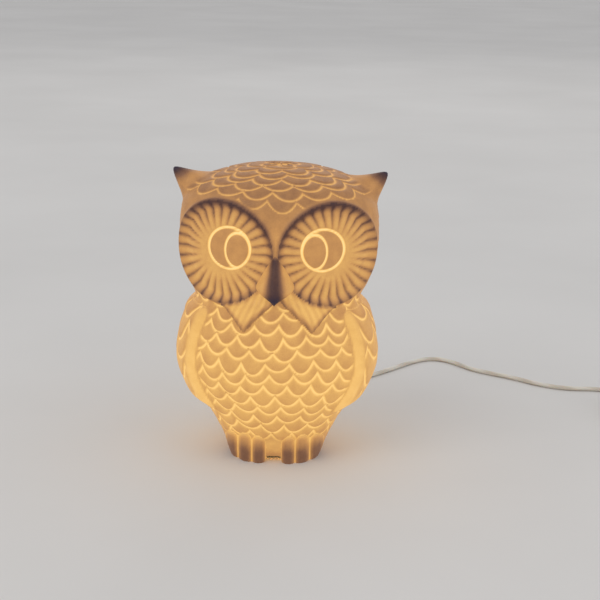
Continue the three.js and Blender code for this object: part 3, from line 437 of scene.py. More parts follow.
class Finish(Protocol):
    """What every finish has."""

    name: str

    def build(self) -> bpy.types.Material:
        """Makes the material."""


@dataclass(frozen=True)
class Moulded:
    """Plastic or rubber with a fine moulded grain and slight uneven wear."""

    name: str
    colour: Colour
    darker: Colour
    roughness: float = 0.45
    grain: float = 1800.0
    depth: float = 0.05

    def build(self) -> bpy.types.Material:
        """Colour drifts over centimetres, and grain and roughness follow a fine noise.

        Returns:
            The material.
        """
        shader = Shader(self.name)
        cloud = shader.noise(45.0, 4.0)
        fine = shader.noise(self.grain, 2.0)
        mixed = shader.ramp(cloud, [(0.35, self.darker), (0.65, self.colour)])
        rough = shader.between(fine, 0.3, 0.7, self.roughness - 0.07, self.roughness + 0.09)
        shader.set(Base_Color=mixed, Roughness=rough, Specular_IOR_Level=0.4)
        shader.bump(fine, self.depth)
        return shader.material


@dataclass(frozen=True)
class Metal:
    """Plated or turned metal, with fine marks across it and a little tarnish."""

    name: str
    colour: Colour
    tarnish: Colour
    roughness: float = 0.3
    lines: float = 2400.0

    def build(self) -> bpy.types.Material:
        """Fine rings stacked along Z give the tool marks, and a noise gives the tarnish.

        Returns:
            The material.
        """
        shader = Shader(self.name)
        squeezed = shader.add(
            "ShaderNodeMapping", {"Vector": shader.place(), "Scale": (0.05, 0.05, 1.0)}
        ).outputs["Vector"]
        marks = shader.noise(self.lines, 2.0, squeezed)
        stain = shader.noise(160.0, 4.0)
        mixed = shader.ramp(stain, [(0.4, self.tarnish), (0.62, self.colour)])
        rough = shader.between(marks, 0.3, 0.7, self.roughness - 0.08, self.roughness + 0.12)
        shader.set(Base_Color=mixed, Roughness=rough, Metallic=1.0)
        shader.bump(marks, 0.015)
        return shader.material


@dataclass(frozen=True)
class Bisque:
    """Unglazed porcelain that glows from inside.

    Thin places glow brightest. The mesh says how much light comes through, where a line is
    drawn into the clay, and how the rows of feathers run.
    """

    name: str = "lit bisque"
    line_width: float = 0.55
    line_glow: float = 1.0
    strength: float = 0.88

    # The colours of the painted light through the porcelain, from near black where it is painted as unlit up
    # to the full glow.
    STOPS = (
        (0.00, (0.010, 0.010, 0.030)),
        (0.14, (0.060, 0.026, 0.022)),
        (0.30, (0.190, 0.088, 0.045)),
        (0.50, (0.500, 0.245, 0.080)),
        (0.66, (0.740, 0.420, 0.120)),
        (0.83, (0.960, 0.600, 0.200)),
        (1.00, (1.000, 0.760, 0.380)),
    )

    def build(self) -> bpy.types.Material:
        """The line is where the feathers' row number is whole, or where a drawn line's distance is 0.

        Returns:
            The material.
        """
        shader = Shader(self.name)
        row = shader.read("row")
        off = shader.math("ABSOLUTE", shader.math("SUBTRACT", row, shader.math("ROUND", row)))
        feather_line = shader.math("MULTIPLY", off, shader.read("row_height"))
        wide = self.line_width
        soft = shader.math("POWER", shader.between(feather_line, 0.0, 4.0 * wide, 1.0, 0.0), 2.4)
        lines = shader.math("MULTIPLY", soft, shader.read("feathered"))
        drawn = shader.math("ABSOLUTE", shader.read("drawn"))
        lines = shader.math("MAXIMUM", lines, shader.between(drawn, 0.4 * wide, 2.6 * wide, 1.0, 0.0))
        glow = shader.read("glow")
        # Painted light: along the feather lines and the drawn lines the glow rises to line_glow.
        edge = shader.math("MULTIPLY", shader.math("SUBTRACT", shader.read("line_glow"), glow), lines)
        mottle = shader.between(shader.noise(140.0, 3.0), 0.3, 0.7, -0.025, 0.025)
        speck = shader.between(shader.noise(2200.0, 1.0), 0.35, 0.65, -0.02, 0.02)
        total = shader.math("ADD", shader.math("ADD", glow, edge), shader.math("ADD", mottle, speck))
        # Painted light: the bulb's light through the porcelain, with its painted shades, is looked up from
        # the glow attribute and given off as emission.
        lit = shader.ramp(shader.math("DIVIDE", total, 1.2, clamp=True), self.STOPS)
        # Painted light: the base colour is a dark tint mixed with a third of the painted glow, so the glow
        # and its painted shades also colour the surface under the studio lights.
        body = shader.add(
            "ShaderNodeMix", {"Factor": 0.34, 6: (0.008, 0.006, 0.006, 1.0), 7: lit}, data_type="RGBA"
        ).outputs[2]
        shader.set(
            Base_Color=body, Roughness=shader.between(shader.noise(900.0), 0.3, 0.7, 0.42, 0.58),
            Emission_Color=lit, Emission_Strength=self.strength, Specular_IOR_Level=0.3,
        )
        shader.bump(shader.noise(1500.0, 3.0), 0.06)
        return shader.material


# ---------------------------------------------------------------- the owl's shell


# What a plain piece of porcelain stores for the finish: no feathers, and no line near.
PLAIN = {"row": 0.5, "row_height": 9.0, "feathered": 0.0, "drawn": 9.0}


class Body(Enum):
    """A body of the frame, which the pieces ride on."""

    BASE = "base"
    SHELL = "shell"
    BULB = "bulb"
    ROCKER = "rocker"


class Side(Enum):
    """A side of the lamp, as the nodes' names write it."""

    LEFT = "left"
    RIGHT = "right"


@dataclass
class OwlShape:
    """The smooth body of the owl, in millimetres about the lamp's own upright axis.

    A point is given by an angle round the axis, counted from +X so that -90 degrees is the face,
    and by its climb, from 0 at the foot to 1 at the crown.
    """

    height: float = 197.0
    width: float = 136.0
    depth: float = 107.0
    squareness: float = 2.35
    stations: Array = field(default_factory=lambda: np.array([
        [0.000, 0.454, 0.560, 0.617], [0.051, 0.518, 0.600, 0.665], [0.112, 0.592, 0.700, 0.750],
        [0.173, 0.690, 0.822, 0.880], [0.244, 0.830, 0.915, 0.980], [0.335, 0.925, 0.953, 1.047],
        [0.426, 0.905, 0.945, 1.020], [0.497, 0.845, 0.907, 0.953], [0.558, 0.805, 0.870, 0.880],
        [0.609, 0.880, 0.888, 0.870], [0.680, 0.950, 0.907, 0.888], [0.761, 0.968, 0.916, 0.907],
        [0.843, 0.955, 0.907, 0.888], [0.900, 0.902, 0.866, 0.836], [0.939, 0.775, 0.756, 0.728],
        [0.968, 0.585, 0.580, 0.560], [0.990, 0.335, 0.335, 0.325], [1.000, 0.000, 0.000, 0.000],
    ]))

    def point(self, angle: Array, climb: Array) -> Array:
        """A point of the smooth body.

        At each height the outline is a rounded square: the half width and the reach, each
        raised to the squareness, share out a whole.

        Args:
            angle: the angle round the axis.
            climb: the climb, of a matching shape.

        Returns:
            The points, with x, y and z as the last axis.
        """
        height, across, front, back = np.moveaxis(through(self.stations, climb), -1, 0)
        wide = np.maximum(across * self.width / 2, 1e-3)
        deep = np.maximum(np.where(np.sin(angle) < 0, front, back) * self.depth / 2, 1e-3)
        sum_of_powers = (np.abs(np.cos(angle)) / wide) ** self.squareness
        sum_of_powers = sum_of_powers + (np.abs(np.sin(angle)) / deep) ** self.squareness
        radius = sum_of_powers ** (-1 / self.squareness)
        return np.stack([radius * np.cos(angle), radius * np.sin(angle), height * self.height], axis=-1)

    def normal(self, angle: Array, climb: Array) -> Array:
        """The outward direction, as the cross product of a short step round and a short step up.

        Args:
            angle: the angle round the axis.
            climb: the climb, of a matching shape.

        Returns:
            Unit vectors.
        """
        step = 0.004
        round_it = self.point(angle + step, climb) - self.point(angle - step, climb)
        above, below = np.minimum(climb + step, 1), np.maximum(climb - step, 0)
        across = np.cross(round_it, self.point(angle, above) - self.point(angle, below))
        return across / np.maximum(np.linalg.norm(across, axis=-1, keepdims=True), 1e-9)

    def climbs(self) -> tuple[Array, Array]:
        """Measures how climb and the distance up the side go together.

        Returns:
            The climb and the distance, as two matching rows.
        """
        climb = np.linspace(0.0, 1.0, 4001)
        side = through(self.stations, climb)[:, :2] * [self.height, self.width / 2]
        run = np.concatenate([[0.0], np.cumsum(np.linalg.norm(np.diff(side, axis=0), axis=1))])
        return climb, run


@dataclass
class Feathers:
    """Rows of rounded feather tips that overlap downwards, each row shifted by half a feather.

    The lower edge of row j is its level less depth times (1 less q to the power 2.2), with q from
    0 in the middle of each feather to 1 at its sides. Between two edges the row number grows
    evenly, so it is whole on every edge.
    """

    spacing: float = 8.3
    width: float = 15.5
    start: float = 0.0
    roundness: float = 2.2
    unevenness: float = 0.38
    wander: float = 0.18

    def edge(self, row: Array, share: Array, girth: Callable[[Array], Array]) -> tuple[Array, Array]:
        """The height and slope of a row's lower edge.

        Args:
            row: the row's number at each point.
            share: the share of the way round, from -0.5 to 0.5, 0 being the front.
            girth: the distance round the body at a given height.

        Returns:
            The edge's height at each point, and how steep it is there.
        """
        level = self.start + row * self.spacing
        around = girth(level)
        count = np.maximum(2 * np.round(around / self.width / 2), 4)
        place = share * count + 0.5 * np.mod(row, 2) + self.wander * np.sin(2.3 * row)
        feather = np.round(place)
        q = np.clip(2 * np.abs(place - feather), 0.0, 1.0)
        wrapped = np.mod(feather, count)
        depth = self.spacing * (1 - self.unevenness * spread(row, wrapped))
        height = level - depth * (1 - q**self.roundness)
        slope = depth * self.roundness * q ** (self.roundness - 1) / np.maximum(0.5 * around / count, 1e-3)
        return height, slope

    def rows(self, share: Array, up: Array, girth: Callable[[Array], Array]) -> tuple[Array, Array]:
        """Where each point lies in the rows.

        Args:
            share: the share of the way round, from -0.5 to 0.5, 0 being the front.
            up: the distance up the body's side.
            girth: the distance round the body at a given height.

        Returns:
            The row number with its fraction, and the row's height there, measured across its edge.
        """
        low = np.floor((up - self.start) / self.spacing)
        edges = [self.edge(low + step, share, girth) for step in (0, 1, 2)]
        upper = up >= edges[1][0]
        below, above = np.where(upper, edges[1][0], edges[0][0]), np.where(upper, edges[2][0], edges[1][0])
        slope_below = np.where(upper, edges[1][1], edges[0][1])
        slope_above = np.where(upper, edges[2][1], edges[1][1])
        tall = np.maximum(above - below, 0.05)
        fraction = np.clip((up - below) / tall, 0.0, 1.0)
        slope = np.where(fraction < 0.5, slope_below, slope_above)
        return low + upper + fraction, tall / np.sqrt(1 + slope**2)


@dataclass
class Zones:
    """Where each point of the shell's outside lies, as arrays over its rows and columns.

    radius and turn give the place in the nearer eye's disc, 1 being its rim. iris and pupil are
    distances outside those ovals, and bib is the distance inside the bib's leaves. wing, ear and
    toes are the shares of those reliefs, behind is the distance behind the wing's front edge, and
    toe_line is the distance from a toe's outline.
    """

    body: Array
    normal: Array
    up: Array
    radius: Array
    turn: Array
    iris: Array
    pupil: Array
    bib: Array
    wing: Array
    behind: Array
    ear: Array
    toes: Array
    toe_line: Array
    on_foot: Array

    @property
    def xyz(self) -> Array:
        """The smooth body's coordinates, as three arrays."""
        return np.moveaxis(self.body, -1, 0)

    @property
    def forward(self) -> Array:
        """True on the face's side of the lamp's axis."""
        return self.body[..., 1] < -2

    @property
    def in_disc(self) -> Array:
        """True inside an eye's disc."""
        return self.forward & (self.radius < 1)

    @property
    def around_iris(self) -> Array:
        """0 inside the iris and 1 outside it."""
        return smooth(0.2, 1.6, self.iris)


@dataclass
class Plumage:
    """The rows of feathers over the whole outside.

    row and tall are the row's number and height at each point, and feathered is how much of the
    relief stands there. use_cap is True on the head, and the rest are masks from 0 to 1.
    """

    row: Array
    tall: Array
    feathered: Array
    use_cap: Array
    on_cap: Array
    on_head: Array
    wing_smooth: Array
    low_wing: Array

    @property
    def fraction(self) -> Array:
        """The share of the way from a row's lower edge to its upper one."""
        return self.row - np.floor(self.row)


@dataclass
class Shell:
    """The porcelain owl: outside with all its relief, plain lining, foot rim, arch and notch.

    A relief is a height in millimetres along the smooth body's normal. The ears and the toes are
    pulled out along the axes instead.
    """

    shape: OwlShape = field(default_factory=OwlShape)
    axis: float = 0.0
    wall: float = 3.6
    columns: int = 400
    rows: int = 212
    lining_rows: int = 24
    crowding: float = 0.2
    foot_room: float = 46.0
    disc_middle: tuple[float, float, float] = (35.3, -40.1, 145.3)
    disc_radius: float = 34.6
    disc_squash: float = 0.955
    disc_turn: float = 0.4
    disc_depth: float = 2.6
    disc_rim: float = 1.9
    ribs: int = 28
    rib_relief: float = 1.5
    iris: Ring = (30.8, 148.6, 14.0, 13.8)
    pupil: Ring = (25.2, 147.4, 8.2, 11.5)
    iris_groove: float = 0.9
    pupil_groove: float = 0.8
    pupil_relief: float = 0.9
    wing_relief: float = 4.6
    bib_relief: float = 3.2
    streak_relief: float = 0.25
    feather_relief: float = 1.15
    feather_sink: float = 0.55
    toe_reach: float = 7.0
    ear_reach: float = 21.0
    ear_rise: float = 14.0
    arch: tuple[float, float] = (11.0, 4.0)
    notch: tuple[float, float] = (5.0, 10.0)
    feathers: Feathers = field(default_factory=Feathers)
    wing_feathers: Feathers = field(default_factory=lambda: Feathers(spacing=14.0, width=20.0, start=5.0))
    cap_feathers: Feathers = field(default_factory=lambda: Feathers(spacing=8.0, width=19.0, start=0.0))

    def grid(self) -> tuple[Array, Array, Array]:
        """Lays rows and columns over the outside.

        Columns crowd a little towards the face. Over the arch and the notch the lowest points
        start higher, and the rows above close up to make room.

        Returns:
            The angle, climb and distance up the side at every point.
        """
        share = 2 * np.arange(self.columns) / self.columns - 1
        angle = -math.pi / 2 + math.pi * (share * (1 - self.crowding) + self.crowding * share**3)
        climb, run = self.shape.climbs()
        level = run[-1] * np.arange(self.rows) / self.rows
        foot = self.shape.point(angle, np.zeros_like(angle))
        raised = self.opening_height(foot[:, 0], foot[:, 1])
        up = level[:, None] + raised[None, :] * np.clip(1 - level[:, None] / self.foot_room, 0, 1)
        return np.broadcast_to(angle, up.shape), np.interp(up, run, climb), up

    def opening_height(self, x: Array, y: Array) -> Array:
        """How high the shell's lower edge is lifted: an arch in front, a round notch behind.

        Args:
            x: the sideways place of a point of the foot.
            y: its place from front to back.

        Returns:
            The height of the edge at each point.
        """
        half, tall = self.arch[0] / 2, self.arch[1]
        arch = tall * np.clip(1 - (np.abs(x) / half) ** 4, 0, 1) ** 0.25
        radius, middle = self.notch
        notch = (middle + np.sqrt(np.clip(radius**2 - x**2, 0, None))) * (np.abs(x) < radius)
        return np.where(y < 0, arch, notch)

    def disc(self, x: Array, y: Array, z: Array) -> tuple[Array, Array]:
        """Finds the place in the nearer eye's disc.

        Args:
            x: the sideways place of a point.
            y: its place from front to back.
            z: its height.

        Returns:
            The distance from the disc's middle, 1 being its rim, and the angle there.
        """
        middle_x, middle_y, middle_z = self.disc_middle
        turned = math.cos(self.disc_turn), math.sin(self.disc_turn)
        outwards = (np.abs(x) - middle_x) * turned[0] + (y - middle_y) * turned[1]
        upwards = (z - middle_z) / self.disc_squash
        return np.hypot(outwards, upwards) / self.disc_radius, np.arctan2(upwards, outwards)

    @staticmethod
    def oval(x: Array, z: Array, sizes: Ring) -> Array:
        """Distance from an upright oval that the face has on each side.

        Args:
            x: the sideways place of a point.
            z: its height.
            sizes: the oval's middle, sideways and up, and its half width and half height.

        Returns:
            Millimetres outside the oval, negative inside it.
        """
        middle_x, middle_z, half_x, half_z = sizes
        reach = np.hypot((np.abs(x) - middle_x) / half_x, (z - middle_z) / half_z)
        return (reach - 1) * (half_x + half_z) / 2

    def wing_share(self, y: Array, z: Array) -> tuple[Array, Array]:
        """Finds the place on a wing.

        Args:
            y: the place of a point from front to back.
            z: its height.

        Returns:
            How much of the wing's relief stands there, and the distance behind its front edge.
        """
        height, depth = self.shape.height, self.shape.depth
        behind = y / depth + 0.31
        leading = smooth(-0.03, 0.02, behind)
        trailing = 1 - smooth(0.62, 0.7, behind + 0.25 * smooth(0.35 * height, 0.1 * height, z))
        low = smooth(0.165 * height, 0.235 * height, z)
        high = 1 - smooth(0.5 * height, 0.56 * height, z)
        return leading * trailing * low * high, behind * depth

    def bib_distance(self, x: Array, z: Array) -> Array:
        """Finds the place in the two smooth leaves below the discs.

        Args:
            x: the sideways place of a point.
            z: its height.

        Returns:
            The distance inside the leaves, measured from their lower edges.
        """
        aside = np.abs(x - 2.0)
        inner, corner, outer = (3.4, 113.1), (21.8, 94.2), (34.0, 109.0)
        lower = inner[1] + (corner[1] - inner[1]) * (aside - inner[0]) / (corner[0] - inner[0])
        upper = corner[1] + (outer[1] - corner[1]) * (aside - corner[0]) / (outer[0] - corner[0])
        return np.minimum(z - lower, z - upper) * 0.72

    def ear(self, x: Array, y: Array, z: Array) -> Array:
        """Finds the place on an ear.

        Args:
            x: the sideways place of a point.
            y: its place from front to back.
            z: its height.

        Returns:
            The share of the ear's reach: 1 at its tip, 0 away from it.
        """
        half_width, half_depth, height = self.shape.width / 2, self.shape.depth / 2, self.shape.height
        away = np.sqrt(
            ((np.abs(x) - 0.83 * half_width) / (0.26 * half_width)) ** 2
            + ((y - 0.02 * half_depth) / (0.3 * half_depth)) ** 2
            + ((z - 0.945 * height) / (0.088 * height)) ** 2
        )
        return np.clip(1 - away, 0, None) ** 1.6

    def toe_share(self, x: Array, y: Array, z: Array) -> tuple[Array, Array, Array]:
        """Finds the place on the toes.

        Three toes stand side by side on each foot, each with a rounded back and a rounded top.

        Args:
            x: the sideways place of a point.
            y: its place from front to back.
            z: its height.

        Returns:
            The share of the toes' reach, the distance to a toe's outline, and the toes' mask.
        """
        half_width, height = self.shape.width / 2, self.shape.height
        half_foot = 0.213 * half_width
        across = (np.abs(x) - 0.284 * half_width) / half_foot
        aside = np.abs(np.mod(1.5 * (across + 1), 1.0) - 0.5) * 2
        top = 0.108 * height - 4.0 * aside**2 - 3.0 * across**2
        on_foot = smooth(0.8, -0.8, z - top) * ((y < -0.1 * self.shape.depth / 2) & (np.abs(across) < 1))
        rounded = np.sqrt(np.clip(1 - across**4, 0, None)) * np.sqrt(np.clip((top - z) / 9.0, 0, 1))
        reach = (0.5 + 0.5 * np.sqrt(np.clip(1 - aside**2, 0, None))) * rounded * on_foot
        outline = np.minimum((1 - aside) * half_foot / 3, np.abs(z - top))
        return reach, outline, on_foot

    def zones(self) -> Zones:
        """Finds where each point of the outside lies.

        Returns:
            The zones, over the grid's rows and columns.
        """
        angle, climb, up = self.grid()
        body = self.shape.point(angle, climb)
        x, y, z = np.moveaxis(body, -1, 0)
        radius, turn = self.disc(x, y, z)
        wing, behind = self.wing_share(y, z)
        toes, toe_line, on_foot = self.toe_share(x, y, z)
        on_bib = (y < -0.3 * self.shape.depth / 2) & (radius > 1.0) & (z < 0.62 * self.shape.height)
        return Zones(
            body=body, normal=self.shape.normal(angle, climb), up=up, radius=radius, turn=turn,
            iris=self.oval(x, z, self.iris), pupil=self.oval(x, z, self.pupil),
            bib=np.where(on_bib, self.bib_distance(x, z), -9.0), wing=wing, behind=behind,
            ear=self.ear(x, y, z), toes=toes, toe_line=toe_line, on_foot=on_foot,
        )

    def body_feathers(self, zones: Zones) -> Array:
        """Keeps the body's feathers off the face, the bib, the feet and the wings' front edges.

        Args:
            zones: where each point lies.

        Returns:
            How much of the feathers' relief stands at each point of the body.
        """
        x, y, z = zones.xyz
        shoulder = smooth(0.0, 5.0, 0.578 * self.shape.height - z + 3.0 * smooth(30.0, 60.0, np.abs(x)))
        below_disc = smooth(1.03, 1.10, zones.radius) + (y > -20)
        share = np.clip(shoulder, 0, 1) * np.clip(below_disc, 0, 1) * smooth(0.4, -0.6, zones.bib)
        share *= (1 - zones.on_foot) * smooth(13.0, 22.0, z + 13 * (y > 0))
        front_gap = smooth(-0.9, -2.2, zones.behind) + smooth(-0.3, 1.0, zones.behind)
        share *= np.clip(blend(1.0, front_gap, smooth(0.1, 0.2, zones.wing)), 0, 1)
        return share

    def plumage(self, zones: Zones) -> Plumage:
        """Lays the rows of feathers round the body, the wings and the cap.

        Args:
            zones: where each point lies.

        Returns:
            The rows, and where they stand.
        """
        x, y, z = zones.xyz
        up, height, side = zones.up, self.shape.height, self.columns // 4
        step = np.linalg.norm(np.roll(zones.body, -1, axis=1) - zones.body, axis=-1)
        around = np.concatenate([np.zeros((len(step), 1)), np.cumsum(step, axis=1)], axis=1)
        front = around[:, self.columns // 2]
        share = (around[:, :-1] - front[:, None]) / np.maximum(around[:, -1:], 1e-6)
        levels, girths = up[:, side], around[:, -1]

        def girth(level: Array) -> Array:
            """The distance round the body at a height up its side."""
            return np.interp(level, levels, girths)

        # Hand-modelled rows are never quite level or even.
        drift = 1.2 * np.sin(x / 13.0 + 0.8 * np.sin(z / 19.0)) * np.sin(z / 23.0 + 1.0)
        drift += 0.5 * np.sin(x / 6.0 + z / 11.0) + 0.5 * np.sin(x / 21.0 - z / 7.0)
        body_row, body_tall = self.feathers.rows(share, up + drift, girth)
        wing_row, wing_tall = self.wing_feathers.rows(share + 0.01, up + 0.12 * zones.behind, girth)
        cap_row, cap_tall = self.cap_feathers.rows(share, up + 0.8 * drift, girth)

        # The lowest row of the cap over the face, one row higher towards the ears.
        brow = np.interp(0.896 * height, z[:, side], levels)
        cap_start = math.ceil(brow / self.cap_feathers.spacing)
        cap_low = cap_start + np.round(1.3 * (np.abs(x) / 55.0) ** 2) - 0.1
        on_cap = smooth(-0.02, 0.06, cap_row - cap_low) * smooth(1.06, 1.1, zones.radius)
        on_head = blend(1.0, on_cap, smooth(2.0, -4.0, y)) * (1 - smooth(0.05, 0.16, zones.ear))
        use_cap = smooth(0.585 * height, 0.60 * height, z) > 0.5

        on_wing = smooth(0.25, 0.45, zones.wing)
        wing_smooth = on_wing * smooth(5.6, 3.6, zones.behind)
        low_wing = on_wing * smooth(52.0, 42.0, z)
        on_body = self.body_feathers(zones) * (1 - wing_smooth) * (1 - low_wing)
        return Plumage(
            row=np.where(use_cap, cap_row, np.where(on_wing > 0.5, wing_row, body_row)),
            tall=np.where(use_cap, cap_tall, np.where(on_wing > 0.5, wing_tall, body_tall)),
            feathered=np.clip(np.where(use_cap, on_head, on_body), 0.0, 1.0),
            use_cap=use_cap, on_cap=on_cap, on_head=on_head, wing_smooth=wing_smooth, low_wing=low_wing,
        )

    def rib_wave(self, zones: Zones) -> Array:
        """The ribs round a disc: 1 on a rib's back, 0 between two."""
        return np.abs(np.sin(0.5 * self.ribs * zones.turn))

    def heights(self, zones: Zones, plumage: Plumage) -> Array:
        """Adds up every relief that stands along the normal.

        Args:
            zones: where each point lies.
            plumage: the rows of feathers.

        Returns:
            Millimetres off the smooth body at each point.
        """
        x, y, z = zones.xyz
        height, radius, iris, pupil = self.shape.height, zones.radius, zones.iris, zones.pupil
        fraction, in_disc = plumage.fraction, zones.in_disc
        to_edge = np.minimum(fraction, 1 - fraction) * plumage.tall
        pillow = smooth(-0.2, 1.9, to_edge) * (1 - 0.3 * fraction)
        scales = plumage.feathered * (self.feather_relief * pillow - self.feather_sink)
        ribbed = np.where(in_disc, zones.around_iris * (1 - smooth(0.88, 0.955, radius)), 0.0)
        rib_rise = ribbed * self.rib_relief * (self.rib_wave(zones)**0.55 - 0.6) * smooth(0.36, 0.6, radius)
        dish = np.where(zones.forward, -self.disc_depth * (1 - smooth(0.86, 0.965, radius)), 0.0)
        raised_rim = np.where(y < 5, self.disc_rim * np.exp(-(((radius - 1.0) / 0.05) ** 2)), 0.0)
        eye_groove = np.where(
            in_disc, self.iris_groove * np.exp(-((iris / 0.8) ** 2))
            + self.pupil_groove * np.exp(-((pupil / 0.8) ** 2)) * (iris < 0.4), 0.0
        )
        pupil_rise = np.where(in_disc & (iris < 0), self.pupil_relief * smooth(0.5, -4.0, pupil), 0.0)
        below_face = 1 - smooth(0.57 * height, 0.6 * height, z)
        bib_rise = self.bib_relief * smooth(-0.4, 1.2, zones.bib) * below_face
        waves = self.streak_relief * np.sin(np.abs(x) * 2.1 + 0.5 * (z - 100.0))
        streaks = waves * smooth(0.5, 3.0, zones.bib) * (z < 118)
        out = dish + raised_rim + rib_rise - eye_groove + pupil_rise + self.wing_relief * zones.wing
        out += bib_rise + streaks + scales
        return out

    def outside(self, zones: Zones, plumage: Plumage) -> Array:
        """Raises the relief, and then pulls out the ears and the toes.

        Args:
            zones: where each point lies.
            plumage: the rows of feathers.

        Returns:
            The outside's points.
        """
        points = zones.body + zones.normal * self.heights(zones, plumage)[..., None]
        points[..., 0] += np.sign(zones.body[..., 0]) * self.ear_reach * zones.ear
        points[..., 2] += self.ear_rise * zones.ear**1.5
        points[..., 1] -= self.toe_reach * zones.toes
        return points

    @staticmethod
    def drawn_lines(zones: Zones) -> Array:
        """The lines drawn round the irises, the pupils and the toes.

        Args:
            zones: where each point lies.

        Returns:
            The distance to the nearest of them, or 9 where none is near.
        """
        iris, pupil = zones.iris, zones.pupil
        eye_line = np.minimum(np.abs(iris), np.where(iris < 0.3, np.abs(pupil), 9.0))
        drawn = np.where(zones.in_disc, eye_line, 9.0)
        return np.where(zones.on_foot > 0.05, 0.6 + 0.75 * zones.toe_line, drawn)

    def disc_light(self, zones: Zones) -> tuple[Array, Array]:
        """The painted light through an eye's disc, with painted shade above, towards the nose, at the rim and
        in the gaps between the ribs.

        Args:
            zones: where each point lies.

        Returns:
            The light inside the disc, and the painted shade that the raised rim casts on the light round it.
        """
        radius, turn = zones.radius, zones.turn
        over = smooth(-0.2, 0.9, np.sin(turn))
        inner_side = smooth(0.3, -0.6, np.cos(turn))
        outer_side = smooth(0.2, 0.9, np.cos(turn))
        # Painted shade in the gaps between the ribs, deeper towards the rim.
        gap = (1 - self.rib_wave(zones)) ** 1.5 * smooth(0.36, 0.82, radius)
        # Painted shade at the rim, heaviest above and towards the nose, lightest on the outer side.
        edge_shade = (0.12 + 0.18 * over + 0.10 * inner_side) * (1 - 0.6 * outer_side)
        ribs = 0.80 - 0.38 * gap - edge_shade * smooth(0.84, 0.99, radius)
        # Painted shade over the disc's upper part.
        ribs -= 0.08 * smooth(0.62, 0.92, radius) * over
        # Painted shadow of the raised rim on the light round it, heaviest above.
        at_rim = np.where(zones.body[..., 1] < 5, np.exp(-(((radius - 1.0) / 0.045) ** 2)), 0.0)
        rim_shade = (0.14 + 0.15 * over) * at_rim * (1 - 0.55 * outer_side)
        return blend(0.68, np.maximum(ribs, 0.24), zones.around_iris), rim_shade

    @staticmethod
    def fall_off(z: Array) -> Array:
        """How the bulb's light spreads: strongest in the middle of the body, weaker up the head.

        Args:
            z: the height of a point.

        Returns:
            The share of the light that reaches it.
        """
        body = 0.86 + 0.17 * np.exp(-(((z - 55.0) / 48.0) ** 2))
        head = 1 - 0.08 * smooth(165.0, 192.0, z)
        foot = 1 - 0.10 * smooth(22.0, 6.0, z)
        return body * head * foot

    def light(self, zones: Zones, plumage: Plumage) -> tuple[Array, Array]:
        """The light that comes through the porcelain: less where it is thick or shaded.

        Args:
            zones: where each point lies.
            plumage: the rows of feathers.

        Returns:
            The light through each point, and the light through a line that is drawn there.
        """
        x, _, z = zones.xyz
        forward, in_disc, radius, bib = zones.forward, zones.in_disc, zones.radius, zones.bib
        use_cap, fraction = plumage.use_cap, plumage.fraction
        glow = blend(np.full(x.shape, 0.66), 0.635 + 0.12 * fraction, plumage.feathered)
        glow = np.where(use_cap, blend(glow, 0.53 + 0.06 * fraction, plumage.on_head), glow)
        glow = np.where(use_cap & forward & (radius > 1), blend(0.62, glow, plumage.on_cap), glow)
        disc, rim_shade = self.disc_light(zones)
        # The raised rim's painted shadow is taken off the light round it.
        glow = np.where(in_disc, disc, glow) - rim_shade
        # Painted light: a brighter patch on the nose between the discs.
        nose = np.exp(-((x / 5.0) ** 2) - ((z - 153.0) / 9.0) ** 2) * forward
        glow = np.maximum(glow, 0.2) + 0.14 * nose
        wing_edge = np.clip(plumage.wing_smooth + plumage.low_wing, 0, 1)
        glow = blend(glow, 0.74 + 0.10 * smooth(6.5, 1.0, zones.behind), wing_edge)
        veins = 0.045 * np.sin(np.abs(x) * 1.5 + 0.62 * (z - 100.0))
        # Painted shadow: the leaves darken towards their lower edges, where they stand off the chest, and
        # just under the discs' rims.
        leaves = blend(0.46, 0.84, smooth(0.0, 5.0, bib)) + veins - 0.14 * smooth(1.08, 1.01, radius)
        glow = np.where(bib > 0, leaves, glow)
        # Painted shade: the toes darken towards the floor, and their outlines glow brighter.
        toe_light = 0.40 + 0.22 * smooth(7.0, 19.0, z) + 0.16 * smooth(3.4, 0.4, zones.toe_line)
        glow = blend(glow, toe_light, zones.on_foot)
        # Painted light: the wall between the feet, over the arch, is lit brighter, and darker towards the
        # floor.
        between_feet = forward * smooth(6.5, 4.5, np.abs(x)) * smooth(20.0, 12.0, z)
        glow = blend(glow, 0.82 - 0.18 * smooth(9.0, 3.5, z), between_feet)
        # Painted shade: the ear tips are darkened almost to black, as if unlit, and their lines with them.
        spread_light, unlit_ear = self.fall_off(z), smooth(0.28, 0.80, zones.ear)
        glow = blend(glow * spread_light, 0.015, unlit_ear)
        line_glow = blend(0.98 * np.where(use_cap, 0.78, 1.0), 1.12, in_disc * 1.0)
        line_glow = blend(line_glow * blend(0.7, 1.0, spread_light), 0.05, unlit_ear)
        return np.clip(glow, 0.0, 1.2), line_glow

    def lining(self, outside: Array) -> Array:
        """The plain inner skin, a wall's thickness inside the smooth body.

        Args:
            outside: the outside's points, whose lowest row gives the lining's own edge.

        Returns:
            The lining's points, in fewer rows.
        """
        angle, climb, _ = self.grid()
        chosen = np.linspace(0, self.rows - 1, self.lining_rows).astype(int)
        angle, climb = angle[chosen], climb[chosen]
        inner = self.shape.point(angle, climb)
        radius, _ = self.disc(*np.moveaxis(inner, -1, 0))
        hollow = np.where(inner[..., 1] < 0, -self.disc_depth * (1 - smooth(0.75, 0.95, radius)), 0.0)
        lining = inner + self.shape.normal(angle, climb) * (hollow - self.wall)[..., None]
        lining[0, :, 2] = outside[0, :, 2]
        return lining

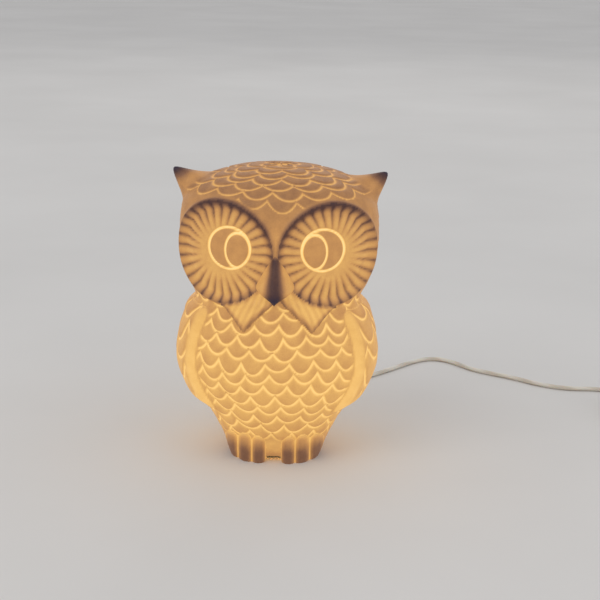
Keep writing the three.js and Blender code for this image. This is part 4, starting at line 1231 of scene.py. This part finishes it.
    def build(self) -> bpy.types.Object:
        """Makes the closed mesh: outside, crown, lining, and the rim that joins them at the foot.

        Returns:
            The piece, with what its finish reads at each point.
        """
        zones = self.zones()
        plumage = self.plumage(zones)
        outside = self.outside(zones, plumage)
        glow, line_glow = self.light(zones, plumage)
        notes = {
            "row": plumage.row, "row_height": plumage.tall, "feathered": plumage.feathered,
            "drawn": self.drawn_lines(zones), "glow": glow, "line_glow": line_glow,
        }
        outer_count, inner_count = self.rows * self.columns, self.lining_rows * self.columns
        crown = np.array([[0.0, 0.0, self.shape.height], [0.0, 0.0, self.shape.height - self.wall]])
        points = np.concatenate([outside.reshape(-1, 3), self.lining(outside).reshape(-1, 3), crown])
        points[:, 1] += self.axis
        top, inner_top = outer_count + inner_count, outer_count + inner_count + 1
        faces = quads(self.rows, self.columns)
        faces += fan(outer_count - self.columns, self.columns, top)
        faces += quads(self.lining_rows, self.columns, outer_count, outwards=False)
        faces += fan(top - self.columns, self.columns, inner_top, outwards=False)
        faces += rim(self.columns, 0, outer_count)
        piece = mesh_object("porcelain_owl", points, faces)
        for name, values in notes.items():
            # Painted light: the lining and its crown point are given an even glow.
            inside = np.full(inner_count + 2, {**PLAIN, "glow": 0.9, "line_glow": 0.9}[name])
            inside[inner_count] = values[-1].mean()
            attribute(piece, name, np.concatenate([values.ravel(), inside]))
        return piece


@dataclass
class Beak:
    """The hooked beak between the discs: level rings that grow and then close to a point."""

    axis: float = 0.0
    height: float = 197.0
    root: float = -46.0
    width: float = 25.0
    reach: float = 16.0
    columns: int = 64
    rows: int = 90
    stations: Array = field(default_factory=lambda: np.array([
        [0.584, 0.02, 0.78], [0.594, 0.30, 0.95], [0.609, 0.72, 1.00], [0.625, 0.97, 0.98],
        [0.640, 0.96, 0.91], [0.662, 0.78, 0.80], [0.688, 0.56, 0.66], [0.715, 0.35, 0.48],
        [0.736, 0.22, 0.32], [0.744, 0.05, 0.15],
    ]))

    def light(self, level: Array, across: Array) -> Array:
        """The light through the beak, which is darkest along its ridge.

        Args:
            level: the height of a point, as a share of the owl's.
            across: its distance from the middle.

        Returns:
            The light at each point.
        """
        half_ridge = blend(7.5, 4.4, smooth(0.60, 0.72, level))
        ridge = smooth(1.25, 0.25, np.abs(across) / half_ridge) * smooth(0.748, 0.725, level)
        return np.clip(blend(0.66, 0.17, ridge) - 0.12 * smooth(0.63, 0.60, level), 0.06, 1)

    def build(self) -> bpy.types.Object:
        """Stacks the rings, each a rounded triangle whose reach falls off as a power of the sine.

        Returns:
            The piece, with what its finish reads at each point.
        """
        share = np.linspace(0.0, 1.0, self.rows)[:, None]
        level, wide, reach = np.moveaxis(through(self.stations, share), -1, 0)
        turn = 2 * math.pi * (np.arange(self.columns) + 0.5)[None, :] / self.columns
        across = 0.5 * wide * self.width * np.sign(np.cos(turn)) * np.abs(np.cos(turn)) ** 1.15
        forward = np.where(np.sin(turn) < 0, -reach * self.reach * np.abs(np.sin(turn)) ** 1.35, 0.6)
        points = np.stack([across, self.root + forward, level * self.height + 0 * turn], axis=-1)
        ends = np.stack([points[0].mean(axis=0), points[-1].mean(axis=0)])
        flat = np.concatenate([points.reshape(-1, 3), ends])
        flat[:, 1] += self.axis
        count = self.rows * self.columns
        faces = quads(self.rows, self.columns)
        faces += fan(0, self.columns, count, outwards=False)
        faces += fan(count - self.columns, self.columns, count + 1)
        piece = mesh_object("owl_beak", flat, faces)
        for name, value in PLAIN.items():
            attribute(piece, name, np.full(count + 2, value))
        glow = np.concatenate([self.light(level, points[..., 0]).ravel(), [0.08, 0.7]])
        attribute(piece, "glow", glow)
        attribute(piece, "line_glow", glow)
        return piece


@dataclass
class Owl:
    """The porcelain owl: its shell and its beak, which stand together for one node."""

    axis: float

    def build(self, dresser: "Dresser") -> None:
        """Builds and dresses the shell and the beak.

        Args:
            dresser: puts the finishes on.
        """
        for piece in (Shell(axis=self.axis).build(), Beak(axis=self.axis).build()):
            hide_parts("owl_shell")
            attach(piece, Body.SHELL.value)
            dresser.dress(piece, "porcelain")


# ---------------------------------------------------------------- the lead


@dataclass(frozen=True)
class Sheath:
    """The soft sheath of the lead, a little see-through, with the twist of its cores showing."""

    name: str = "lead sheath"
    colour: Colour = (0.74, 0.70, 0.62)
    darker: Colour = (0.60, 0.55, 0.47)

    def build(self) -> bpy.types.Material:
        """A slow wave that winds round as it runs along gives the twist; a noise gives the grain.

        Returns:
            The material.
        """
        shader = Shader(self.name)
        winding = shader.math("ADD", shader.math("MULTIPLY", shader.read("run"), 0.21), shader.read("turn"))
        twist = shader.math("MULTIPLY", shader.math("SINE", winding), 0.5)
        cloud = shader.noise(60.0, 3.0)
        mixed = shader.ramp(shader.math("ADD", twist, cloud), [(0.1, self.darker), (0.75, self.colour)])
        fine = shader.noise(2600.0, 2.0)
        shader.set(
            Base_Color=mixed, Roughness=shader.between(fine, 0.3, 0.7, 0.34, 0.46),
            Subsurface_Weight=0.12, Specular_IOR_Level=0.45,
        )
        shader.bump(shader.math("ADD", twist, fine), 0.03)
        return shader.material


@dataclass
class Lead:
    """The mains lead: from the base round behind the owl, through the switch, wound up, to the plug.

    Places are in millimetres about the lamp's own axis.
    """

    axis: float
    exit_y: float
    diameter: float = 3.3
    height: float = 10.0
    floor: float = 1.8
    switch_x: float = 264.0
    switch_rear: float = 111.0
    switch_front: float = 53.0
    entry_height: float = 5.2
    coil_middle: tuple[float, float] = (283.0, 8.0)
    coil_radius: float = 19.0
    coil_foot: float = 2.75
    coil_meets: float = 27.8
    plug_x: float = 302.0
    plug_rear: float = 61.7
    plug_height: float = 7.0
    pitch: float = 3.32
    sides: int = 14
    carries: list[bpy.types.Object] = field(default_factory=list)

    def to_switch(self) -> Array:
        """The listed route from the strain relief, through the switch, to the coil.

        Returns:
            The route's points.
        """
        on = self.floor
        return np.array([
            [0.0, self.exit_y, self.height], [0.4, self.exit_y + 7.7, 9.5], [2.0, self.exit_y + 16.7, 6.6],
            [5.5, self.exit_y + 26.7, 3.2], [10.5, 90, on], [17, 101, on], [27, 116, on], [39, 130, on],
            [52, 143, on], [66, 155, on], [79, 168.5, on], [91.5, 183, on], [103, 196, on],
            [114.5, 204.5, on], [125, 205.5, on], [134, 200, on], [142.5, 191, on], [151.5, 180.5, on],
            [163, 172.5, on], [176, 165, on], [188, 156.5, on], [200, 147.5, on], [212, 141.5, on],
            [226, 138.5, on], [240, 139, on], [252, 136.5, on], [260.5, 129, 2.0], [263.6, 119, 3.9],
            [self.switch_x, self.switch_rear, self.entry_height],
            [self.switch_x, self.switch_front, self.entry_height],
            [self.switch_x, self.switch_front - 7, 4.2], [self.switch_x, self.coil_meets + 8, 2.9],
        ])

    def winding(self) -> Array:
        """The coil's turns.

        Each turn keeps its own place in the bundle, column by row, for most of the way round and
        moves to the next place in its last part, under the tie. The order snakes through the
        bundle, so the lead comes in at the outside below and leaves at the outside above.

        Returns:
            The turns' points.
        """
        places = [
            (3, 0), (2, 0), (1, 0), (0, 0), (0, 1), (0, 2), (1, 2), (1, 1), (2, 1), (2, 2), (3, 2), (3, 1),
        ]
        start, leave = math.radians(152), math.radians(17)
        turn = np.arange(start, leave + 2 * math.pi * (len(places) - 1), math.radians(20))
        number = (turn - math.radians(270)) / (2 * math.pi) + 0.5
        whole = np.clip(np.floor(number).astype(int), 0, len(places) - 1)
        after = np.minimum(whole + 1, len(places) - 1)
        grid = np.array(places, dtype=float)
        share = smooth(0.42, 0.58, number - np.floor(number))[:, None]
        place = blend(grid[whole], grid[after], share)
        radius = self.coil_radius + (place[:, 0] - 1.5) * self.pitch
        x = self.coil_middle[0] + radius * np.cos(turn)
        y = self.coil_middle[1] + radius * np.sin(turn)
        return np.stack([x, y, self.coil_foot + place[:, 1] * self.pitch], axis=1)

    def to_plug(self) -> Array:
        """The listed route from the coil to the plug's sleeve.

        Returns:
            The route's points.
        """
        return np.array([
            [self.plug_x + 2.4, self.coil_meets - 4.0, 6.25], [self.plug_x + 0.5, self.coil_meets + 2, 6.4],
            [self.plug_x, self.coil_meets + 8, 6.9], [self.plug_x, self.plug_rear - 19.7, self.plug_height],
            [self.plug_x, self.plug_rear, self.plug_height],
        ])

    def build(self) -> bpy.types.Object:
        """Returns:
            The piece.
        """
        join_in = np.array([[self.switch_x - 0.1, self.coil_meets + 1.5, 2.75]])
        route = np.concatenate([self.to_switch(), join_in, self.winding(), self.to_plug()])
        line = evenly(route, 1.6)
        line[:, 1] += self.axis
        piece = swept("mains_lead", line, np.full(len(line), self.diameter / 2), self.sides)
        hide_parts("lead_to_switch", "lead_to_coil", "lead_coil", "lead_to_plug")
        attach(piece, Body.BASE.value)
        return piece


# ---------------------------------------------------------------- mechanical pieces


@dataclass(frozen=True)
class Part:
    """How a node is dressed: its finish's slot, the rounding of its edges, and its body."""

    node: str
    slot: str
    edge: float
    body: Body = Body.BASE

    def build(self) -> bpy.types.Object:
        """Makes a softened copy that stands for the node and rides on its body.

        Returns:
            The piece.
        """
        piece = softened(self.node, self.edge, f"{self.node}_made")
        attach(piece, self.body.value)
        return piece


def pair(stem: str, slot: str, edge: float, body: Body = Body.BASE) -> list[Part]:
    """The parts for two nodes named alike, left and right."""
    return [Part(f"{stem}_{side.value}", slot, edge, body) for side in Side]


@dataclass(frozen=True)
class Group:
    """A sub-assembly of mechanical pieces, each of which stands for a node."""

    parts: tuple[Part, ...]

    def build(self, dresser: "Dresser") -> list[bpy.types.Object]:
        """Builds and dresses the pieces, in order."""
        return [dresser.dress(part.build(), part.slot) for part in self.parts]


BASE = Group((
    Part("base_plate", "white_plastic", 0.35),
    *[Part(f"base_pad_{number}", "pad_rubber", 0.4) for number in (1, 2, 3)],
    Part("holder_bracket", "zinc_steel", 0.2),
    *pair("bracket_screw", "zinc_steel", 0.15),
    Part("nipple", "zinc_steel", 0.2),
    Part("nipple_nut", "zinc_steel", 0.3),
    Part("strain_relief", "lead_sheath", 0.2),
    Part("cord_clamp", "white_plastic", 0.3),
    *pair("clamp_screw", "zinc_steel", 0.12),
    Part("lead_inside", "lead_sheath", 0.1),
    Part("lead_core_left", "core_brown", 0.1),
    Part("lead_core_right", "core_blue", 0.1),
    Part("holder_cap", "holder_plastic", 0.4),
    Part("holder_insert", "steatite", 0.3),
    Part("holder_sleeve", "holder_plastic", 0.4),
    Part("thread_sleeve", "contact_brass", 0.1),
    Part("centre_contact", "contact_brass", 0.15),
    *pair("terminal_screw", "contact_brass", 0.2),
))
BULB_CAP = Group((
    Part("bulb_tip", "solder", 0.2, Body.BULB),
    Part("bulb_collar", "steatite", 0.2, Body.BULB),
    Part("bulb_cap", "bulb_cap_metal", 0.1, Body.BULB),
    Part("bulb_stem", "bulb_glass", 0.2, Body.BULB),
    *pair("filament_support", "zinc_steel", 0.05, Body.BULB),
))
SWITCH = Group((
    Part("switch_base", "white_plastic", 0.7),
    Part("switch_cover", "white_plastic", 0.7),
    *pair("switch_screw", "zinc_steel", 0.12),
    *pair("switch_contact", "contact_brass", 0.1),
    Part("switch_rocker", "white_plastic", 0.5, Body.ROCKER),
))
PLUG = Group((
    Part("plug_body", "white_plastic", 1.2),
    *pair("plug_pin", "contact_brass", 0.4),
    *pair("pin_sleeve", "pin_sleeve", 0.15),
    Part("plug_relief", "lead_sheath", 0.3),
))
TIE = Group((Part("coil_tie", "tie_plastic", 0.2),))


@dataclass
class BulbGlass:
    """The clear envelope: neck, shoulder, straight side and domed end, open at its foot."""

    axis: float
    foot: float
    top: float
    radius: float = 13.0
    neck: float = 5.2
    neck_end: float = 10.5
    shoulder_end: float = 25.0
    dome: float = 13.0
    wall: float = 0.9
    columns: int = 72
    rows: int = 80

    def profile(self, inset: float) -> Array:
        """The side's outline: the neck widens along a smooth step, and half an ellipse closes it.

        Args:
            inset: how far inside the outer skin it lies.

        Returns:
            Radius and height up the side.
        """
        rise = np.linspace(self.foot, self.top - self.dome, self.rows)
        widening = smooth(self.foot + self.neck_end, self.foot + self.shoulder_end, rise)
        radius = blend(self.neck, self.radius, widening)
        turn = np.linspace(0, math.pi / 2, 24)[1:-1]
        radius = np.concatenate([radius, self.radius * np.cos(turn)]) - inset
        rise = np.concatenate([rise, self.top - self.dome + (self.dome - inset) * np.sin(turn)])
        return np.stack([np.maximum(radius, 0.05), rise], axis=1)

    def build(self) -> bpy.types.Object:
        """Turns the outer and the inner profile round the axis and joins them at the foot.

        Returns:
            The piece.
        """
        turn = 2 * math.pi * np.arange(self.columns) / self.columns
        skins = []
        for inset in (0.0, self.wall):
            radius, rise = self.profile(inset).T
            ring = np.stack([np.cos(turn), np.sin(turn)], axis=-1)
            level = np.broadcast_to(rise[:, None, None], (len(rise), self.columns, 1))
            skins.append(np.concatenate([radius[:, None, None] * ring, level], axis=-1))
        rows = skins[0].shape[0]
        count = rows * self.columns
        poles = np.array([[0, 0, self.top], [0, 0, self.top - self.wall]])
        points = np.concatenate([skins[0].reshape(-1, 3), skins[1].reshape(-1, 3), poles])
        points[:, 1] += self.axis
        faces = quads(rows, self.columns) + fan(count - self.columns, self.columns, 2 * count)
        faces += quads(rows, self.columns, count, outwards=False)
        faces += fan(2 * count - self.columns, self.columns, 2 * count + 1, outwards=False)
        faces += rim(self.columns, 0, count)
        piece = mesh_object("bulb_envelope", points, faces)
        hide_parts("bulb_glass")
        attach(piece, Body.BULB.value)
        return piece


@dataclass
class Filament:
    """The lit filament: a fine coil of wire on an arch between its two supports."""

    axis: float
    height: float
    half: float = 4.9
    rise: float = 3.4
    turns: int = 34
    coil: float = 0.42
    wire: float = 0.12

    def build(self) -> bpy.types.Object:
        """Winds a helix whose middle line is half a sine wave from one support to the other.

        Returns:
            The piece.
        """
        share = np.linspace(0.0, 1.0, self.turns * 10)
        turn = 2 * math.pi * self.turns * share
        x = self.half * (2 * share - 1)
        y = self.axis + self.coil * np.cos(turn)
        z = self.height + self.rise * np.sin(math.pi * share) + self.coil * np.sin(turn)
        piece = swept("filament_coil", np.stack([x, y, z], axis=1), np.array(self.wire), 6)
        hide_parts("bulb_filament")
        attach(piece, Body.BULB.value)
        return piece


@dataclass
class Bulb:
    """The bulb: its cap and supports, its envelope and its filament."""

    axis: float
    arch_lift: float = 0.5

    def build(self, dresser: "Dresser") -> None:
        """Builds and dresses the bulb's pieces around their nodes.

        Args:
            dresser: puts the finishes on.
        """
        BULB_CAP.build(dresser)
        low, high = node_corners("bulb_glass")
        dresser.dress(BulbGlass(self.axis, low[2], high[2]).build(), "bulb_glass")
        low, _ = node_corners("bulb_filament")
        dresser.dress(Filament(self.axis, low[2] + self.arch_lift).build(), "filament")


# ---------------------------------------------------------------- more finishes


@dataclass(frozen=True)
class ClearGlass:
    """Blown glass with faint waves."""

    name: str = "bulb glass"

    def build(self) -> bpy.types.Material:
        """Full transmission, with a slow noise bending the light a little.

        Returns:
            The material.
        """
        shader = Shader(self.name)
        wave = shader.noise(120.0, 2.0)
        shader.set(
            Base_Color=(1.0, 0.97, 0.92, 1.0), Transmission_Weight=1.0, IOR=1.45,
            Roughness=shader.between(wave, 0.3, 0.7, 0.01, 0.05),
        )
        shader.bump(wave, 0.03)
        return shader.material


@dataclass(frozen=True)
class HotWire:
    """A glowing filament, hottest in its middle."""

    name: str = "hot wire"

    def build(self) -> bpy.types.Material:
        """Brightness follows a noise along the wire.

        Returns:
            The material.
        """
        shader = Shader(self.name)
        heat = shader.ramp(shader.noise(500.0), [(0.3, (1.0, 0.42, 0.10)), (0.7, (1.0, 0.66, 0.28))])
        shader.set(Base_Color=heat, Emission_Color=heat, Emission_Strength=12.0, Roughness=0.5)
        return shader.material


FINISHES: dict[str, Finish] = {
    "porcelain": Bisque(),
    "white_plastic": Moulded("white plastic", (0.78, 0.765, 0.72), (0.70, 0.68, 0.63)),
    "pad_rubber": Moulded("pad rubber", (0.035, 0.035, 0.036), (0.022, 0.022, 0.022), 0.75),
    "zinc_steel": Metal("zinc plated steel", (0.62, 0.62, 0.60), (0.48, 0.48, 0.47)),
    "lead_sheath": Moulded("soft sleeve", (0.70, 0.67, 0.60), (0.58, 0.54, 0.47), 0.42),
    "core_brown": Moulded("brown core", (0.16, 0.06, 0.025), (0.11, 0.04, 0.02), 0.4),
    "core_blue": Moulded("blue core", (0.03, 0.09, 0.35), (0.02, 0.06, 0.25), 0.4),
    "holder_plastic": Moulded("holder plastic", (0.80, 0.77, 0.70), (0.71, 0.67, 0.58), 0.4),
    "steatite": Moulded("steatite", (0.70, 0.66, 0.58), (0.60, 0.56, 0.48), 0.62, 900.0, 0.09),
    "contact_brass": Metal("contact brass", (0.72, 0.50, 0.20), (0.52, 0.33, 0.13), 0.26),
    "solder": Metal("solder", (0.45, 0.45, 0.44), (0.30, 0.30, 0.30), 0.45),
    "bulb_cap_metal": Metal("rolled cap", (0.70, 0.69, 0.66), (0.56, 0.55, 0.52), 0.28),
    "bulb_glass": ClearGlass(),
    "filament": HotWire(),
    "tie_plastic": Moulded("woven tie", (0.76, 0.75, 0.72), (0.62, 0.61, 0.58), 0.8, 1100.0, 0.25),
    "pin_sleeve": Moulded("pin sleeve", (0.02, 0.02, 0.021), (0.012, 0.012, 0.012), 0.4),
}


@dataclass
class Dresser:
    """Builds each finish once and puts it on pieces."""

    made: dict[str, bpy.types.Material] = field(default_factory=dict)

    def dress(self, piece: bpy.types.Object, slot: str, finish: Optional[Finish] = None) -> bpy.types.Object:
        """Gives a piece its finish, the one its slot holds unless another is given.

        Args:
            piece: the piece.
            slot: the material slot, which chooses the finish.
            finish: the finish, where it isn't the slot's own.

        Returns:
            The piece.
        """
        chosen = finish or FINISHES[slot]
        if chosen.name not in self.made:
            self.made[chosen.name] = chosen.build()
        piece.data.materials.clear()
        piece.data.materials.append(self.made[chosen.name])
        log.info("%s: %s", piece.name, chosen.name)
        return piece


# ---------------------------------------------------------------- the stage


@dataclass
class Stage:
    """A plain pale floor, soft studio light, the lamp's own light, and the camera.

    The lights' places and sizes are in metres, and all else is in millimetres. scale is the
    picture's points to a millimetre at the target.
    """

    axis: float
    shift_x: float = 14.7
    aim_height: float = 104.2
    distance: float = 950.0
    azimuth: float = 1.6
    elevation: float = 15.0
    roll: float = 1.2
    scale: float = 1.485
    picture: float = 600.0
    sensor: float = 36.0
    floor_half: float = 14000.0
    lit_point: tuple[float, float, float] = (0.05, 0.0, 0.09)
    bulb_height: float = 0.108

    def camera(self) -> None:
        """Stands the camera back along its line of sight, rolled a little to the right."""
        turn, tilt = math.radians(self.azimuth), math.radians(self.elevation)
        back = Vector((math.sin(turn) * math.cos(tilt), -math.cos(turn) * math.cos(tilt), math.sin(tilt)))
        right = Vector((math.cos(turn), math.sin(turn), 0.0))
        target = Vector((0.0, self.axis, self.aim_height)) + right * self.shift_x
        data = bpy.data.cameras.new("camera")
        data.sensor_width = self.sensor
        data.lens = self.scale * self.distance / self.picture * self.sensor
        data.clip_start, data.clip_end = 0.01, 100.0
        camera = placed("camera", data)
        camera.rotation_mode = "QUATERNION"
        camera.location = (target + back * self.distance) * MM
        facing = (-back).to_track_quat("-Z", "Y")
        camera.rotation_quaternion = facing @ Matrix.Rotation(math.radians(self.roll), 3, "Z").to_quaternion()
        bpy.context.scene.camera = camera

    def floor(self) -> None:
        """A wide level floor with a faint mottle."""
        half = self.floor_half
        corners = np.array([[-half, -half, 0], [half, -half, 0], [half, half, 0], [-half, half, 0]])
        piece = mesh_object("floor", corners, [[0, 1, 2, 3]])
        shader = Shader("pale floor")
        cloud = shader.ramp(shader.noise(3.0, 4.0), [(0.3, (0.70, 0.69, 0.67)), (0.7, (0.75, 0.74, 0.72))])
        shader.set(Base_Color=cloud, Roughness=0.85, Specular_IOR_Level=0.2)
        piece.data.materials.append(shader.material)

    def soft_light(
        self, name: str, place: Sequence[float], size: float, power: float, colour: Colour
    ) -> None:
        """Adds a square soft light that faces the owl.

        Args:
            name: its name.
            place: where it hangs.
            size: the length of its side.
            power: its watts.
            colour: its colour.
        """
        data = bpy.data.lights.new(name, "AREA")
        data.shape, data.size, data.energy, data.color = "SQUARE", size, power, colour
        light = placed(name, data)
        light.location = place
        aim = Vector(self.lit_point) - Vector(place)
        light.rotation_mode = "QUATERNION"
        light.rotation_quaternion = aim.to_track_quat("-Z", "Y")

    def warm_light(self, name: str, place: Sequence[float], power: float, size: float) -> None:
        """Adds a small round light of the bulb's own colour.

        Args:
            name: its name.
            place: where it hangs.
            power: its watts.
            size: its radius.
        """
        data = bpy.data.lights.new(name, "POINT")
        data.energy, data.color, data.shadow_soft_size = power, (1.0, 0.52, 0.18), size
        placed(name, data).location = place

    def lights(self) -> None:
        """A key, a fill and a back light, an even sky, and the bulb."""
        self.soft_light("key", (-1.4, -1.6, 2.0), 1.8, 14.0, (1.0, 0.98, 0.95))
        self.soft_light("fill", (1.8, -1.0, 1.4), 2.0, 6.0, (0.95, 0.97, 1.0))
        self.soft_light("rear", (0.2, 2.2, 1.8), 2.0, 6.0, (1.0, 0.98, 0.95))
        world = bpy.data.worlds.new("studio")
        world.use_nodes = True
        sky = world.node_tree.nodes["Background"]
        sky.inputs["Color"].default_value = (0.80, 0.80, 0.82, 1.0)
        sky.inputs["Strength"].default_value = 0.75
        bpy.context.scene.world = world
        self.warm_light("bulb light", (0.0, self.axis * MM, self.bulb_height), 1.2, 0.008)

    def build(self) -> None:
        """Makes the whole stage."""
        self.camera()
        self.floor()
        self.lights()
        bpy.context.scene.view_settings.view_transform = "Standard"


# ---------------------------------------------------------------- assembly


def main() -> None:
    """Builds the stage, the switch and plug, the lead, the owl, the base and the bulb, in that order."""
    logging.basicConfig(level=logging.INFO, format="%(message)s")
    low, high = node_corners("bulb_glass")
    axis = float(low[1] + high[1]) / 2
    dresser = Dresser()
    Stage(axis).build()
    carried = [piece for group in (SWITCH, PLUG, TIE) for piece in group.build(dresser)]
    relief_end = node_corners("strain_relief")[1][1]
    lead = Lead(axis=axis, exit_y=relief_end - axis + LEAD_GAP, carries=carried)
    dresser.dress(lead.build(), "lead_sheath", Sheath())
    Owl(axis).build(dresser)
    BASE.build(dresser)
    Bulb(axis).build(dresser)


if __name__ == "__main__":
    main()
